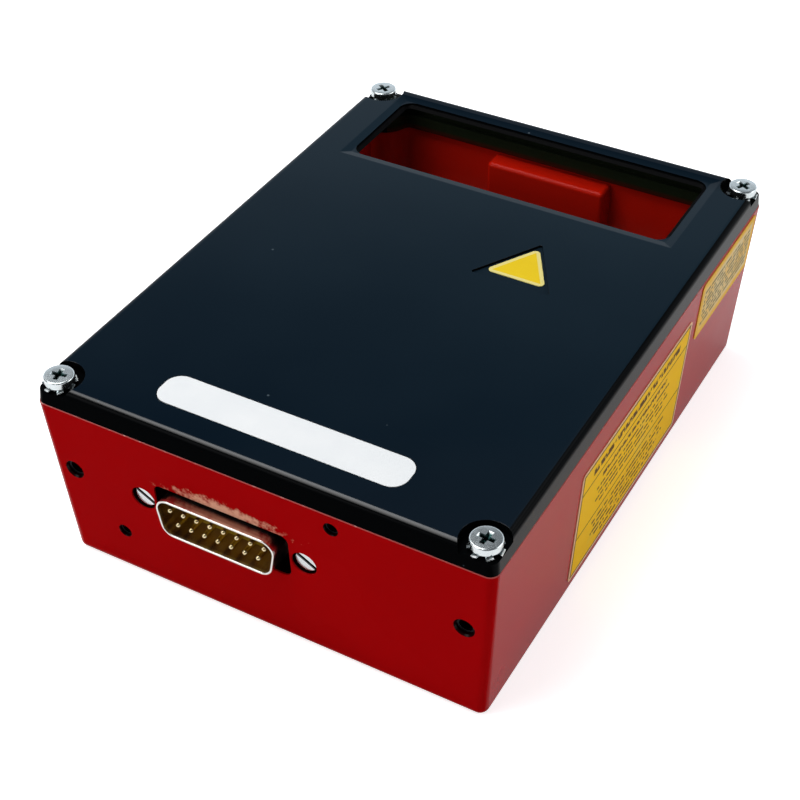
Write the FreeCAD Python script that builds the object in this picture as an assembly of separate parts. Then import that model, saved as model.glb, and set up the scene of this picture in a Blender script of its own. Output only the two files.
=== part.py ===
import FreeCAD, Part
import math
import os

# Industrial barcode reader: a die-cast tub, a screwed cover with a tinted window, a 15-way D plug,
# and inside them a laser, a spinning eight-sided mirror, a deflection mirror and a light receiver.
# Millimetres. X runs along the plug face, Y from the plug to the window, Z up from the base.

# Tub
BODY_WIDTH = 90.0
BODY_LENGTH = 120.5
PARTING_HEIGHT = 36.5
WALL_LEAN = 3.0
WALL = 3.0
FLOOR = 3.0
CORNER_RADIUS = 1.8
BASE_EDGE_RADIUS = 1.6
RIM_CHAMFER = 0.15
CAVITY_CORNER_RADIUS = 2.5
CAVITY_FLOOR_RADIUS = 1.5
BOSS_RADIUS = 5.4
BOSS_BLEND = 3.0
RIM_WALL = 1.8
RIM_BOSS_RADIUS = 4.0
LEDGE_DEPTH = 2.0

# Cover
COVER_HEIGHT = 4.3
COVER_INSET = 0.1
COVER_LEAN = 5.0
COVER_EDGE_RADIUS = 1.5
COVER_THICKNESS = 2.2
COVER_CORNER_RADIUS = 1.8
LIP_WALL = 1.2
LIP_CLEARANCE = 0.2
NOTCH_RADIUS = 4.5
NOTCH_FLOOR = 2.5
SKIRT_DROP = 1.3
SKIRT_THICKNESS = 1.0
SKIRT_WALL_GAP = 0.3
SKIRT_GLASS_GAP = 0.3

# Cover seal on the tub's ledge
SEAL_WIDTH = 1.1
SEAL_HEIGHT = 0.8
SEAL_CLEARANCE = 0.05

# Cover screws and their toothed washers
SCREW_INSET = 3.4
SCREW_RADIUS = 1.45
SCREW_DEPTH = 9.0
SCREW_HEAD_RADIUS = 2.75
SCREW_HEAD_HEIGHT = 1.4
SCREW_HEAD_ROUND = 0.3
SCREW_HOLE_SPARE = 1.5
RECESS_SPAN = 3.0
RECESS_WIDTH = 0.8
RECESS_TIP_SPAN = 1.0
RECESS_TIP_WIDTH = 0.4
RECESS_DEPTH = 1.1
WASHER_RADIUS = 3.05
WASHER_RING_WIDTH = 0.6
WASHER_SHEET = 0.4
WASHER_HEIGHT = 1.0
WASHER_TEETH = 7
WASHER_TOOTH_WIDTH = 1.2

# Window
WINDOW_SIDE_MARGIN = 8.1
WINDOW_DEPTH = 27.2
WINDOW_REAR_MARGIN = 2.85
WINDOW_BEVEL = 1.7
WINDOW_BEVEL_DROP = 0.3
WINDOW_OUTER_RADIUS = 1.6
WINDOW_CORNER_RADIUS = 3.0
GLASS_DROP = 1.2
GLASS_THICKNESS = 2.0
GLASS_OVERLAP = 1.0
GLASS_EDGE_CLEARANCE = 0.1
BEAD_FOOT = 1.0
BEAD_CREST = 0.4
BEAD_HEIGHT = 0.5

# Plate and labels
PLATE_LENGTH = 49.0
PLATE_WIDTH = 7.6
PLATE_END_RADIUS = 3.0
PLATE_FRONT_MARGIN = 10.35
PLATE_THICKNESS = 0.4
TRIANGLE_SIDE = 16.6
TRIANGLE_X = 14.8
TRIANGLE_WINDOW_GAP = 10.6
TRIANGLE_LABEL_SIDE = 12.7
TRIANGLE_LABEL_SHIFT = 1.1
TRIANGLE_CORNER_RADIUS = 0.4
TRIANGLE_LABEL_CORNER_RADIUS = 0.9
TRIANGLE_DEPTH = 0.5
LABEL_THICKNESS = 0.15
LABEL_CORNER_RADIUS = 1.0
RECESS_CLEARANCE = 0.1
LARGE_LABEL_LENGTH = 50.5
LARGE_LABEL_HEIGHT = 26.9
LARGE_LABEL_BELOW_RIM = 6.4
SMALL_LABEL_LENGTH = 29.0
SMALL_LABEL_HEIGHT = 13.2
SMALL_LABEL_REAR_MARGIN = 3.2
LABEL_GAP = 3.4
SMALL_LABEL_BELOW_RIM = 0.8

# Plug, to the standard 15-way D sizes
CONNECTOR_X = -7.6
CONNECTOR_Z = 21.8
CONNECTOR_WALL = 3.6
CONNECTOR_PAD_WIDTH = 44.0
CONNECTOR_PAD_HEIGHT = 17.0
CUTOUT_WIDTH = 27.6
CUTOUT_HEIGHT = 9.8
CUTOUT_RADIUS = 1.6
SHELL_WIDTH = 25.25
SHELL_HEIGHT = 8.36
SHELL_REACH = 5.9
SHELL_SHEET = 0.5
SHELL_SLANT = 10.0
SHELL_RADIUS = 2.6
FLANGE_WIDTH = 39.2
FLANGE_HEIGHT = 12.5
FLANGE_THICKNESS = 0.9
FLANGE_RADIUS = 1.0
INSULATOR_WIDTH = 27.0
INSULATOR_HEIGHT = 10.6
INSULATOR_DEPTH = 6.0
INSULATOR_FACE = 0.6
PIN_PITCH = 2.77
PIN_ROW_GAP = 2.84
PIN_RADIUS = 0.5
PIN_TIP_RADIUS = 0.25
PIN_TIP_LENGTH = 0.4
PIN_TAIL_RADIUS = 0.3
PIN_SETBACK = 0.5
PIN_TAIL_SPARE = 1.0
UPPER_PIN_COUNT = 8
JACK_SPACING = 33.3
JACK_RADIUS = 1.4
JACK_HEAD_RADIUS = 2.2
JACK_HEAD_HEIGHT = 1.6
JACK_HEAD_SETBACK = 0.75
JACK_SLOT_WIDTH = 0.6
JACK_SLOT_DEPTH = 0.7
JACK_SLOT_ANGLE = 30.0
JACK_COUNTERBORE_CLEARANCE = 0.3
NUT_FLATS = 5.5
NUT_HEIGHT = 2.2
NUT_SPARE = 0.8

# Threaded fixing holes
FRONT_THREAD_INSET = 5.6
FRONT_THREAD_Z = 22.0
FIXING_RADIUS = 1.65
FIXING_DEPTH = 7.0
FIXING_CHAMFER = 0.4
HOOD_OFFSET_X = 22.7
HOOD_OFFSET_Z = 11.4
HOOD_RADIUS = 1.25
HOOD_DEPTH = 5.0
HOOD_CHAMFER = 0.2
HOOD_BOSS_RADIUS = 3.0
HOOD_BOSS_CAP = 1.2
BASE_SPACING_X = 50.0
BASE_SPACING_Y = 62.0
BASE_PATTERN_Y = -3.0
BASE_BOSS_RADIUS = 4.0
BASE_BOSS_CAP = 1.5
REAR_PAD_WIDTH = 27.0
REAR_PAD_TOP = 33.0
REAR_PAD_HEIGHT = 15.0
REAR_PAD_DEPTH = 4.8
REAR_PAD_ROUND = 0.9
REAR_THREAD_SPACING = 16.0
REAR_THREAD_BELOW_TOP = 4.7
REAR_THREAD_CAP = 1.7

# Circuit boards
BOARD_THICKNESS = 1.6
MAIN_BOARD_Z = 25.0
MAIN_BOARD_SIDE_MARGIN = 4.0
MAIN_BOARD_FRONT_GAP = 1.5
MAIN_BOARD_WINDOW_GAP = 4.0
POST_INSET = 4.5
POST_RADIUS = 3.5
BOARD_SCREW_RADIUS = 1.25
BOARD_SCREW_DEPTH = 6.0
BOARD_SCREW_SPARE = 1.0
BOARD_SCREW_HEAD_RADIUS = 2.5
BOARD_SCREW_HEAD_HEIGHT = 1.7
CONNECTOR_BOARD_WIDTH = 46.0
CONNECTOR_BOARD_HEIGHT = 24.0
HEADER_WIDTH = 40.0
HEADER_DEPTH = 6.0
HEADER_HEIGHT = 5.5
CHIP_HEIGHT = 1.6
CHIP_SIDE = 14.0
MEMORY_SIDE = 9.8
CAPACITOR_RADIUS = 3.15
CAPACITOR_HEIGHT = 8.0
CAPACITOR_PITCH = 9.0
CRYSTAL_LENGTH = 11.0
CRYSTAL_WIDTH = 4.6
CRYSTAL_HEIGHT = 3.5

# Scanning optics
OPTICAL_HEIGHT = 15.0
SCAN_DISTANCE = 49.75
MIRROR_END_INSET = 0.2
MIRROR_WIDTH = 16.0
MIRROR_THICKNESS = 3.0
MIRROR_PAD_THICKNESS = 0.4
MIRROR_RIB_WIDTH = 5.0
MIRROR_RIB_SPACING = 28.0
POLYGON_SIDES = 8
POLYGON_INRADIUS = 13.5
POLYGON_HEIGHT = 8.0
POLYGON_RECESS_RADIUS = 8.5
POLYGON_RECESS_DEPTH = 1.6
POLYGON_EDGE_CHAMFER = 0.3

# Mirror motor
MOTOR_PLATE_WIDTH = 33.0
MOTOR_PLATE_LENGTH = 38.0
MOTOR_PLATE_THICKNESS = 1.2
MOTOR_PLATE_RADIUS = 3.0
MOTOR_PAD_HEIGHT = 1.5
MOTOR_PAD_RADIUS = 3.5
MOTOR_SCREW_INSET = 4.0
MOTOR_SCREW_RADIUS = 1.2
MOTOR_SCREW_HEAD_RADIUS = 2.3
MOTOR_SCREW_HEAD_HEIGHT = 1.5
SCREW_FLOOR_CAP = 1.2
SHAFT_RADIUS = 1.5
SHAFT_RUNNING_CLEARANCE = 0.02
SHAFT_END_PLAY = 0.05
SHAFT_TOP = 1.6
BUSH_RADIUS = 4.0
BUSH_SHOULDER_RADIUS = 5.0
BUSH_SHOULDER_HEIGHT = 1.2
BUSH_TOP_CLEARANCE = 0.4
THRUST_DISC_RADIUS = 5.5
THRUST_DISC_THICKNESS = 0.8
ROTOR_RADIUS = 12.5
ROTOR_SHEET = 0.8
ROTOR_PLATE_CLEARANCE = 0.6
ROTOR_HUB_HEIGHT = 1.5
MAGNET_THICKNESS = 1.6
MAGNET_HEIGHT = 3.2
AIR_GAP = 0.4
STATOR_POLES = 6
STATOR_THICKNESS = 2.0
STATOR_HUB_WALL = 1.4
STATOR_ARM_WIDTH = 2.0
STATOR_SHOE_THICKNESS = 1.3
STATOR_SHOE_ANGLE = 46.0
COIL_BUILD = 0.85
COIL_ROUND = 0.68
COIL_END_GAP = 0.15
SPRING_SHEET = 0.4
SPRING_ARMS = 3
SPRING_ARM_WIDTH = 3.0
SPRING_SPAN_CLEARANCE = 0.6
CLIP_THICKNESS = 0.6
CLIP_RADIUS = 3.2
CLIP_GROOVE = 0.35
RIBBON_WIDTH = 8.0
RIBBON_THICKNESS = 0.3
RIBBON_TAIL = 4.0
RIBBON_X = 5.0

# Laser
BARREL_RADIUS = 6.0
BARREL_LENGTH = 18.0
LASER_WALL_GAP = 0.5
BARREL_BORE = 2.0
LENS_RADIUS = 3.2
LENS_EDGE = 1.0
LENS_CROWN = 0.9
LENS_SETBACK = 0.6
DIODE_FLANGE_RADIUS = 2.8
DIODE_FLANGE_THICKNESS = 1.2
DIODE_CAN_RADIUS = 2.1
DIODE_CAN_LENGTH = 2.3
DIODE_LEAD_RADIUS = 0.23
DIODE_LEAD_CIRCLE = 1.27
LASER_BOARD_GAP = 1.5
LASER_BOARD_WIDTH = 14.0
CRADLE_LENGTH = 11.0
CRADLE_HALF_WIDTH = 11.0
CRADLE_SETBACK = 3.0
CLAMP_GAP = 0.3
CLAMP_WALL = 1.6
CLAMP_LUG = 3.0
CLAMP_SCREW_RADIUS = 1.2
CLAMP_SCREW_DEPTH = 6.0
CLAMP_SCREW_HEAD_RADIUS = 2.0
CLAMP_SCREW_HEAD_HEIGHT = 1.4

# Receiver
RECEIVER_WALL_GAP = 2.2
RECEIVER_LENGTH = 15.0
RECEIVER_LENS_RADIUS = 6.8
RECEIVER_LENS_EDGE = 1.2
RECEIVER_LENS_CROWN = 2.2
RECEIVER_LENS_SETBACK = 0.8
RECEIVER_WALL = 1.2
RECEIVER_BORE = 5.6
RECEIVER_FOOT_WIDTH = 20.0
RECEIVER_FOOT_HEIGHT = 3.0
RECEIVER_SCREW_RADIUS = 1.2
RECEIVER_SCREW_INSET = 2.6
RECEIVER_SCREW_HEAD_RADIUS = 2.0
RECEIVER_SCREW_HEAD_HEIGHT = 1.4
FILTER_SIDE = 7.0
FILTER_THICKNESS = 1.1
FILTER_APERTURE = 2.9
PHOTODIODE_SIDE = 5.0
PHOTODIODE_HEIGHT = 1.3
RECEIVER_BOARD_WIDTH = 16.0
PEG_RADIUS = 0.8
PEG_SPACING = 12.0

# Small inner screws
SMALL_HEAD_BEVEL = 0.4

# Fits
THREAD_CLEARANCE = 0.05
HOLE_CLEARANCE = 0.25
SEAT_CLEARANCE = 0.02
THROUGH = 1.0

LEAN = math.tan(math.radians(WALL_LEAN))
TOP = PARTING_HEIGHT + COVER_HEIGHT
X_AXIS = FreeCAD.Vector(1, 0, 0)
Y_AXIS = FreeCAD.Vector(0, 1, 0)
Z_AXIS = FreeCAD.Vector(0, 0, 1)


def vec(x, y, z):
    return FreeCAD.Vector(x, y, z)


def half_x(z, inset=0.0):
    """Half the tub's width at a height, less an inset."""
    return BODY_WIDTH / 2 - (PARTING_HEIGHT - z) * LEAN - inset


def half_y(z, inset=0.0):
    """Half the tub's length at a height, less an inset."""
    return BODY_LENGTH / 2 - (PARTING_HEIGHT - z) * LEAN - inset


def box(x0, x1, y0, y1, z0, z1):
    return Part.makeBox(x1 - x0, y1 - y0, z1 - z0, vec(x0, y0, z0))


def rod(radius, start, end):
    """A round bar between two points."""
    along = end - start
    return Part.makeCylinder(radius, along.Length, start, along)


def ring(outer, inner, start, end):
    """A round tube between two points, its bore cut past both ends."""
    along = (end - start).normalize()
    return rod(outer, start, end).cut(rod(inner, start - along * THROUGH, end + along * THROUGH))


def hole_z(radius, x, y, z0, z1):
    """The cutter for an upright hole, run past both faces."""
    return rod(radius, vec(x, y, z0 - THROUGH), vec(x, y, z1 + THROUGH))


def hole_y(radius, x, z, y0, y1):
    """The cutter for a hole from front to back, run past both faces."""
    return rod(radius, vec(x, y0 - THROUGH, z), vec(x, y1 + THROUGH, z))


def prism(points, along):
    """A straight solid on a closed outline of points."""
    return Part.Face(Part.makePolygon(points + points[:1])).extrude(along)


def round_edges(shape, radius, along):
    """Rounds every straight edge that runs along a direction."""
    edges = []
    for edge in shape.Edges:
        if isinstance(edge.Curve, Part.Line):
            run = edge.Vertexes[-1].Point - edge.Vertexes[0].Point
            if run.Length > 0 and abs(run.normalize().dot(along)) > 0.99:
                edges.append(edge)
    return shape.makeFillet(radius, edges)


def edges_at(shape, z):
    """The edges that lie level at one height."""
    return [e for e in shape.Edges if abs(e.BoundBox.ZMin - z) < 1e-4 and abs(e.BoundBox.ZMax - z) < 1e-4]


def rounded_block(width, length, z0, z1, radius, x=0.0, y=0.0):
    """An upright block on a rounded rectangle centred at x, y."""
    block = box(x - width / 2, x + width / 2, y - length / 2, y + length / 2, z0, z1)
    return round_edges(block, radius, Z_AXIS)


def tapered_block(size0, z0, size1, z1, x=0.0, y=0.0):
    """A flat-sided block whose rectangle changes evenly from one height to another."""
    w0, l0 = size0[0] / 2, size0[1] / 2
    w1, l1 = size1[0] / 2, size1[1] / 2
    wedge = Part.makeWedge(-w0, z0, -l0, -l1, -w1, w0, z1, l0, l1, w1)
    return wedge.rotated(vec(0, 0, 0), X_AXIS, 90).translated(vec(x, y, 0))


def leaning_block(z0, z1, inset):
    """The tub's leaning outline, less an inset, between two heights."""
    return tapered_block((2 * half_x(z0, inset), 2 * half_y(z0, inset)), z0,
                         (2 * half_x(z1, inset), 2 * half_y(z1, inset)), z1)


def upright_edges(shape):
    """The edges that climb from a block's base to its top."""
    box_z = shape.BoundBox
    return [e for e in shape.Edges if e.BoundBox.ZLength > 0.9 * box_z.ZLength]


def revolved(points, start, along):
    """Turns a profile of (radius, distance) points about an axis."""
    side = X_AXIS if abs(along.dot(X_AXIS)) < 0.9 else Z_AXIS
    outline = [start + side * r + along * d for r, d in points]
    face = Part.Face(Part.makePolygon(outline + outline[:1]))
    return face.revolve(start, along, 360)


def lens(radius, edge, crown, start, along):
    """A plano-convex lens whose flat side is at start and whose crown points along."""
    ball_radius = (radius ** 2 + crown ** 2) / (2 * crown)
    disc = rod(radius, start, start + along * (edge + crown))
    return disc.common(Part.makeSphere(ball_radius, start + along * (edge + crown - ball_radius)))


def pan_screw(head_radius, head_height, shank_radius, depth, seat, along):
    """A round-headed screw with a bevelled head, its shank running along from the seat."""
    top, bevel = -head_height, SMALL_HEAD_BEVEL
    profile = [(0, top), (head_radius - bevel, top), (head_radius, top + bevel), (head_radius, 0),
               (shank_radius, 0), (shank_radius, depth), (0, depth)]
    return revolved(profile, seat, along)


def at_corners(spacing_x, spacing_y, x=0.0, y=0.0):
    """The four corners of a rectangle."""
    return [(x + i * spacing_x / 2, y + j * spacing_y / 2) for i in (-1, 1) for j in (-1, 1)]


def blind_thread(mouth, inward, radius, depth, chamfer):
    """The cutter for a tapped hole with a countersunk mouth, opened outside the surface."""
    hole = rod(radius, mouth - inward * THROUGH, mouth + inward * depth)
    sink = Part.makeCone(radius + chamfer, radius, chamfer, mouth, inward)
    lead = rod(radius + chamfer, mouth - inward * THROUGH, mouth)
    return hole.fuse([sink, lead])


# Places that several pieces share
SCREW_PLACES = at_corners(BODY_WIDTH - 2 * SCREW_INSET, BODY_LENGTH - 2 * SCREW_INSET)
WINDOW_WIDTH = BODY_WIDTH - 2 * WINDOW_SIDE_MARGIN
WINDOW_Y = BODY_LENGTH / 2 - WINDOW_REAR_MARGIN - WINDOW_DEPTH / 2
WINDOW_NEAR = WINDOW_Y - WINDOW_DEPTH / 2
OPENING = (WINDOW_WIDTH - 2 * WINDOW_BEVEL, WINDOW_DEPTH - 2 * WINDOW_BEVEL)
GLASS = (OPENING[0] + 2 * GLASS_OVERLAP, OPENING[1] + 2 * GLASS_OVERLAP)
GLASS_TOP = TOP - GLASS_DROP
LEDGE_Z = PARTING_HEIGHT - LEDGE_DEPTH
LIP_BOTTOM = LEDGE_Z + SEAL_HEIGHT
MIRROR_LENGTH = OPENING[0] - 2 * MIRROR_END_INSET
POLYGON_Y = WINDOW_Y - SCAN_DISTANCE
BEAM_Y = POLYGON_Y + POLYGON_INRADIUS * math.sin(math.radians(45))
SMALL_LABEL_END = BODY_LENGTH / 2 - SMALL_LABEL_REAR_MARGIN
CONNECTOR_FACE = -half_y(CONNECTOR_Z)
CONNECTOR_SEAT = CONNECTOR_FACE + CONNECTOR_WALL
SHELL_TIP = CONNECTOR_SEAT - SHELL_REACH
INSULATOR_BACK = CONNECTOR_SEAT + INSULATOR_DEPTH
CONNECTOR_BOARD_BACK = INSULATOR_BACK + BOARD_THICKNESS
JACK_PLACES = [CONNECTOR_X - JACK_SPACING / 2, CONNECTOR_X + JACK_SPACING / 2]
MAIN_BOARD_TOP = MAIN_BOARD_Z + BOARD_THICKNESS
MAIN_BOARD_HALF = half_x(MAIN_BOARD_Z, WALL) - MAIN_BOARD_SIDE_MARGIN
MAIN_BOARD_FRONT = CONNECTOR_BOARD_BACK + MAIN_BOARD_FRONT_GAP
MAIN_BOARD_REAR = WINDOW_NEAR - MAIN_BOARD_WINDOW_GAP
MAIN_BOARD_Y = (MAIN_BOARD_FRONT + MAIN_BOARD_REAR) / 2
POST_PLACES = at_corners(2 * (MAIN_BOARD_HALF - POST_INSET),
                         MAIN_BOARD_REAR - MAIN_BOARD_FRONT - 2 * POST_INSET, 0.0, MAIN_BOARD_Y)
BASE_PLACES = at_corners(BASE_SPACING_X, BASE_SPACING_Y, 0.0, BASE_PATTERN_Y)
MOTOR_PLATE_Z = FLOOR + MOTOR_PAD_HEIGHT
MOTOR_PLATE_TOP = MOTOR_PLATE_Z + MOTOR_PLATE_THICKNESS
MOTOR_SCREW_PLACES = at_corners(MOTOR_PLATE_WIDTH - 2 * MOTOR_SCREW_INSET,
                                MOTOR_PLATE_LENGTH - 2 * MOTOR_SCREW_INSET, 0.0, POLYGON_Y)
POLYGON_Z = OPTICAL_HEIGHT - POLYGON_HEIGHT / 2
POLYGON_TOP = OPTICAL_HEIGHT + POLYGON_HEIGHT / 2
POLYGON_SEAT = POLYGON_TOP - POLYGON_RECESS_DEPTH
ROTOR_UNDER = POLYGON_Z - ROTOR_SHEET
LASER_BOARD_X = half_x(OPTICAL_HEIGHT - BARREL_RADIUS, WALL) - LASER_WALL_GAP - BOARD_THICKNESS
BARREL_START = LASER_BOARD_X - LASER_BOARD_GAP - BARREL_LENGTH
CRADLE_X = BARREL_START + CRADLE_SETBACK
CLAMP_SCREW_OFFSET = (BARREL_RADIUS + CLAMP_WALL + CRADLE_HALF_WIDTH) / 2
RECEIVER_RADIUS = RECEIVER_LENS_RADIUS + RECEIVER_WALL
RECEIVER_BACK = RECEIVER_WALL_GAP + BOARD_THICKNESS - half_x(OPTICAL_HEIGHT - RECEIVER_RADIUS, WALL)
RECEIVER_FRONT = RECEIVER_BACK + RECEIVER_LENGTH
RECEIVER_SCREWS = [BEAM_Y + s * (RECEIVER_FOOT_WIDTH / 2 - RECEIVER_SCREW_INSET) for s in (-1, 1)]
RECEIVER_FOOT_X = RECEIVER_BACK + RECEIVER_LENGTH / 2


def mirror_point(along, behind, x=0.0):
    """A point on the 45 degree deflection mirror: along its slope, and behind its face."""
    step = math.sqrt(0.5)
    return vec(x, WINDOW_Y + (along + behind) * step, OPTICAL_HEIGHT + (along - behind) * step)


def notched_block(inset, notch, z0, z1):
    """A block inside the parting outline, hollowed at its corners around the four cover screws."""
    half_w, half_l = BODY_WIDTH / 2 - inset, BODY_LENGTH / 2 - inset
    block = box(-half_w, half_w, -half_l, half_l, z0, z1)
    return block.cut([hole_z(notch, x, y, z0, z1) for x, y in SCREW_PLACES])


def rim_band(gap, width, z0, z1):
    """A closed band along the inside of the tub's rim and its corner bosses, a gap away from them."""
    inner = gap + width
    hole = notched_block(RIM_WALL + inner, RIM_BOSS_RADIUS + inner, z0 - THROUGH, z1 + THROUGH)
    return notched_block(RIM_WALL + gap, RIM_BOSS_RADIUS + gap, z0, z1).cut(hole)


def around_bosses(block, gap=0.0):
    """A block hollowed around the four corner bosses, a gap away from them and their blends."""
    columns = []
    for x, y in SCREW_PLACES:
        column = rod(BOSS_RADIUS + gap, vec(x, y, -THROUGH), vec(x, y, TOP))
        columns.append(column.rotated(vec(x, y, 0), Z_AXIS, 0 if x > 0 else 180))
    block = block.cut(columns)
    return block.makeFillet(BOSS_BLEND - gap, upright_edges(block))


def tub_cavity():
    """The space inside the tub, with the corner bosses blended into the walls."""
    space = leaning_block(FLOOR, LEDGE_Z, WALL)
    space = space.makeFillet(CAVITY_CORNER_RADIUS, upright_edges(space))
    space = around_bosses(space)
    return space.makeFillet(CAVITY_FLOOR_RADIUS, edges_at(space, FLOOR))


def laser_cradle():
    """The cast block that carries the laser barrel in a half-round trough."""
    block = box(CRADLE_X, CRADLE_X + CRADLE_LENGTH, BEAM_Y - CRADLE_HALF_WIDTH, BEAM_Y + CRADLE_HALF_WIDTH,
                FLOOR - THROUGH, OPTICAL_HEIGHT)
    trough = rod(BARREL_RADIUS + SEAT_CLEARANCE, vec(CRADLE_X - THROUGH, BEAM_Y, OPTICAL_HEIGHT),
                 vec(CRADLE_X + CRADLE_LENGTH + THROUGH, BEAM_Y, OPTICAL_HEIGHT))
    return block.cut(trough)


def mirror_ribs():
    """Three cast wedges that hold the deflection mirror at 45 degrees."""
    back = MIRROR_THICKNESS + MIRROR_PAD_THICKNESS
    low = mirror_point(-MIRROR_WIDTH / 2, back)
    high = mirror_point(MIRROR_WIDTH / 2, back)
    ribs = []
    for i in (-1, 0, 1):
        x = i * MIRROR_RIB_SPACING - MIRROR_RIB_WIDTH / 2
        wall = half_y(FLOOR, WALL) + THROUGH
        outline = [vec(x, low.y, FLOOR - THROUGH), vec(x, low.y, low.z), vec(x, high.y, high.z),
                   vec(x, wall, high.z), vec(x, wall, FLOOR - THROUGH)]
        ribs.append(prism(outline, X_AXIS * MIRROR_RIB_WIDTH))
    return ribs


def rear_pad():
    """The thick pad inside the rear wall that gives depth to the rear threads."""
    front = half_y(REAR_PAD_TOP, WALL) - REAR_PAD_DEPTH
    pad = box(-REAR_PAD_WIDTH / 2, REAR_PAD_WIDTH / 2, front, half_y(REAR_PAD_TOP, WALL / 2),
              REAR_PAD_TOP - REAR_PAD_HEIGHT, REAR_PAD_TOP)
    edges = [e for e in pad.Edges if abs(e.BoundBox.YMax - front) < 1e-4 or
             (e.BoundBox.YLength > 1 and abs(e.BoundBox.ZMin - REAR_PAD_TOP) < 1e-4)]
    return pad.makeFillet(REAR_PAD_ROUND, edges)


def hood_places():
    """Two small front threads, point-symmetric about the plug."""
    places = []
    for s in (-1, 1):
        z = CONNECTOR_Z + s * HOOD_OFFSET_Z
        places.append(vec(CONNECTOR_X + s * HOOD_OFFSET_X, -half_y(z), z))
    return places


def housing():
    """The die-cast tub: leaning walls, corner bosses, pads, ribs, posts and every hole in one piece."""
    outer = leaning_block(0.0, PARTING_HEIGHT, 0.0)
    outer = outer.makeFillet(CORNER_RADIUS, upright_edges(outer))
    outer = outer.makeFillet(BASE_EDGE_RADIUS, edges_at(outer, 0.0))
    outer = outer.makeChamfer(RIM_CHAMFER, edges_at(outer, PARTING_HEIGHT))
    rabbet = notched_block(RIM_WALL, RIM_BOSS_RADIUS, LEDGE_Z, PARTING_HEIGHT + THROUGH)
    tub = outer.cut([tub_cavity(), rabbet])

    inside = [laser_cradle(), rear_pad()] + mirror_ribs()
    uprights = [(POST_PLACES, POST_RADIUS, MAIN_BOARD_Z),
                (BASE_PLACES, BASE_BOSS_RADIUS, FIXING_DEPTH + BASE_BOSS_CAP),
                (MOTOR_SCREW_PLACES, MOTOR_PAD_RADIUS, MOTOR_PLATE_Z)]
    for places, radius, top in uprights:
        inside += [rod(radius, vec(x, y, FLOOR - THROUGH), vec(x, y, top)) for x, y in places]
    inside.append(box(CONNECTOR_X - CONNECTOR_PAD_WIDTH / 2, CONNECTOR_X + CONNECTOR_PAD_WIDTH / 2,
                      CONNECTOR_FACE + WALL / 2, CONNECTOR_SEAT,
                      CONNECTOR_Z - CONNECTOR_PAD_HEIGHT / 2, CONNECTOR_Z + CONNECTOR_PAD_HEIGHT / 2))
    for mouth in hood_places():
        boss = rod(HOOD_BOSS_RADIUS, mouth + Y_AXIS * WALL / 2, mouth + Y_AXIS * (HOOD_DEPTH + HOOD_BOSS_CAP))
        inside.append(boss.common(box(-BODY_WIDTH, BODY_WIDTH, -BODY_LENGTH, BODY_LENGTH, 0.0, LEDGE_Z)))
    tub = tub.fuse(inside)

    cradle_screws = [(CRADLE_X + CRADLE_LENGTH / 2, BEAM_Y + s * CLAMP_SCREW_OFFSET) for s in (-1, 1)]
    receiver_screws_at = [(RECEIVER_FOOT_X, y) for y in RECEIVER_SCREWS]
    threads = [(SCREW_PLACES, SCREW_RADIUS, PARTING_HEIGHT, PARTING_HEIGHT - SCREW_DEPTH - SCREW_HOLE_SPARE),
               (POST_PLACES, BOARD_SCREW_RADIUS, MAIN_BOARD_Z, MAIN_BOARD_Z - BOARD_SCREW_DEPTH),
               (MOTOR_SCREW_PLACES, MOTOR_SCREW_RADIUS, MOTOR_PLATE_Z, SCREW_FLOOR_CAP),
               (cradle_screws, CLAMP_SCREW_RADIUS, OPTICAL_HEIGHT, OPTICAL_HEIGHT - CLAMP_SCREW_DEPTH),
               (receiver_screws_at, RECEIVER_SCREW_RADIUS, FLOOR, SCREW_FLOOR_CAP)]
    cuts = []
    for places, radius, mouth, bottom in threads:
        for x, y in places:
            cuts.append(rod(radius + THREAD_CLEARANCE, vec(x, y, bottom), vec(x, y, mouth + THROUGH)))
    cutout = box(CONNECTOR_X - CUTOUT_WIDTH / 2, CONNECTOR_X + CUTOUT_WIDTH / 2, CONNECTOR_FACE - 2 * THROUGH,
                 CONNECTOR_SEAT + THROUGH, CONNECTOR_Z - CUTOUT_HEIGHT / 2, CONNECTOR_Z + CUTOUT_HEIGHT / 2)
    cuts.append(round_edges(cutout, CUTOUT_RADIUS, Y_AXIS))
    for x in JACK_PLACES:
        mouth = vec(x, CONNECTOR_FACE, CONNECTOR_Z)
        seat = mouth + Y_AXIS * (JACK_HEAD_SETBACK + JACK_HEAD_HEIGHT)
        cuts.append(rod(JACK_HEAD_RADIUS + JACK_COUNTERBORE_CLEARANCE, mouth - Y_AXIS * THROUGH, seat))
        cuts.append(rod(JACK_RADIUS + HOLE_CLEARANCE, seat, vec(x, CONNECTOR_SEAT + THROUGH, CONNECTOR_Z)))
    for s in (-1, 1):
        mouth = vec(s * (BODY_WIDTH / 2 - FRONT_THREAD_INSET), -half_y(FRONT_THREAD_Z), FRONT_THREAD_Z)
        cuts.append(blind_thread(mouth, Y_AXIS, FIXING_RADIUS, FIXING_DEPTH, FIXING_CHAMFER))
        z = REAR_PAD_TOP - REAR_THREAD_BELOW_TOP
        mouth = vec(s * REAR_THREAD_SPACING / 2, half_y(z), z)
        depth = half_y(z) - half_y(REAR_PAD_TOP, WALL) + REAR_PAD_DEPTH - REAR_THREAD_CAP
        cuts.append(blind_thread(mouth, -Y_AXIS, FIXING_RADIUS, depth, FIXING_CHAMFER))
    for mouth in hood_places():
        cuts.append(blind_thread(mouth, Y_AXIS, HOOD_RADIUS, HOOD_DEPTH, HOOD_CHAMFER))
    for x, y in BASE_PLACES:
        cuts.append(blind_thread(vec(x, y, 0), Z_AXIS, FIXING_RADIUS, FIXING_DEPTH, FIXING_CHAMFER))
    return tub.cut(cuts).removeSplitter()


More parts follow.
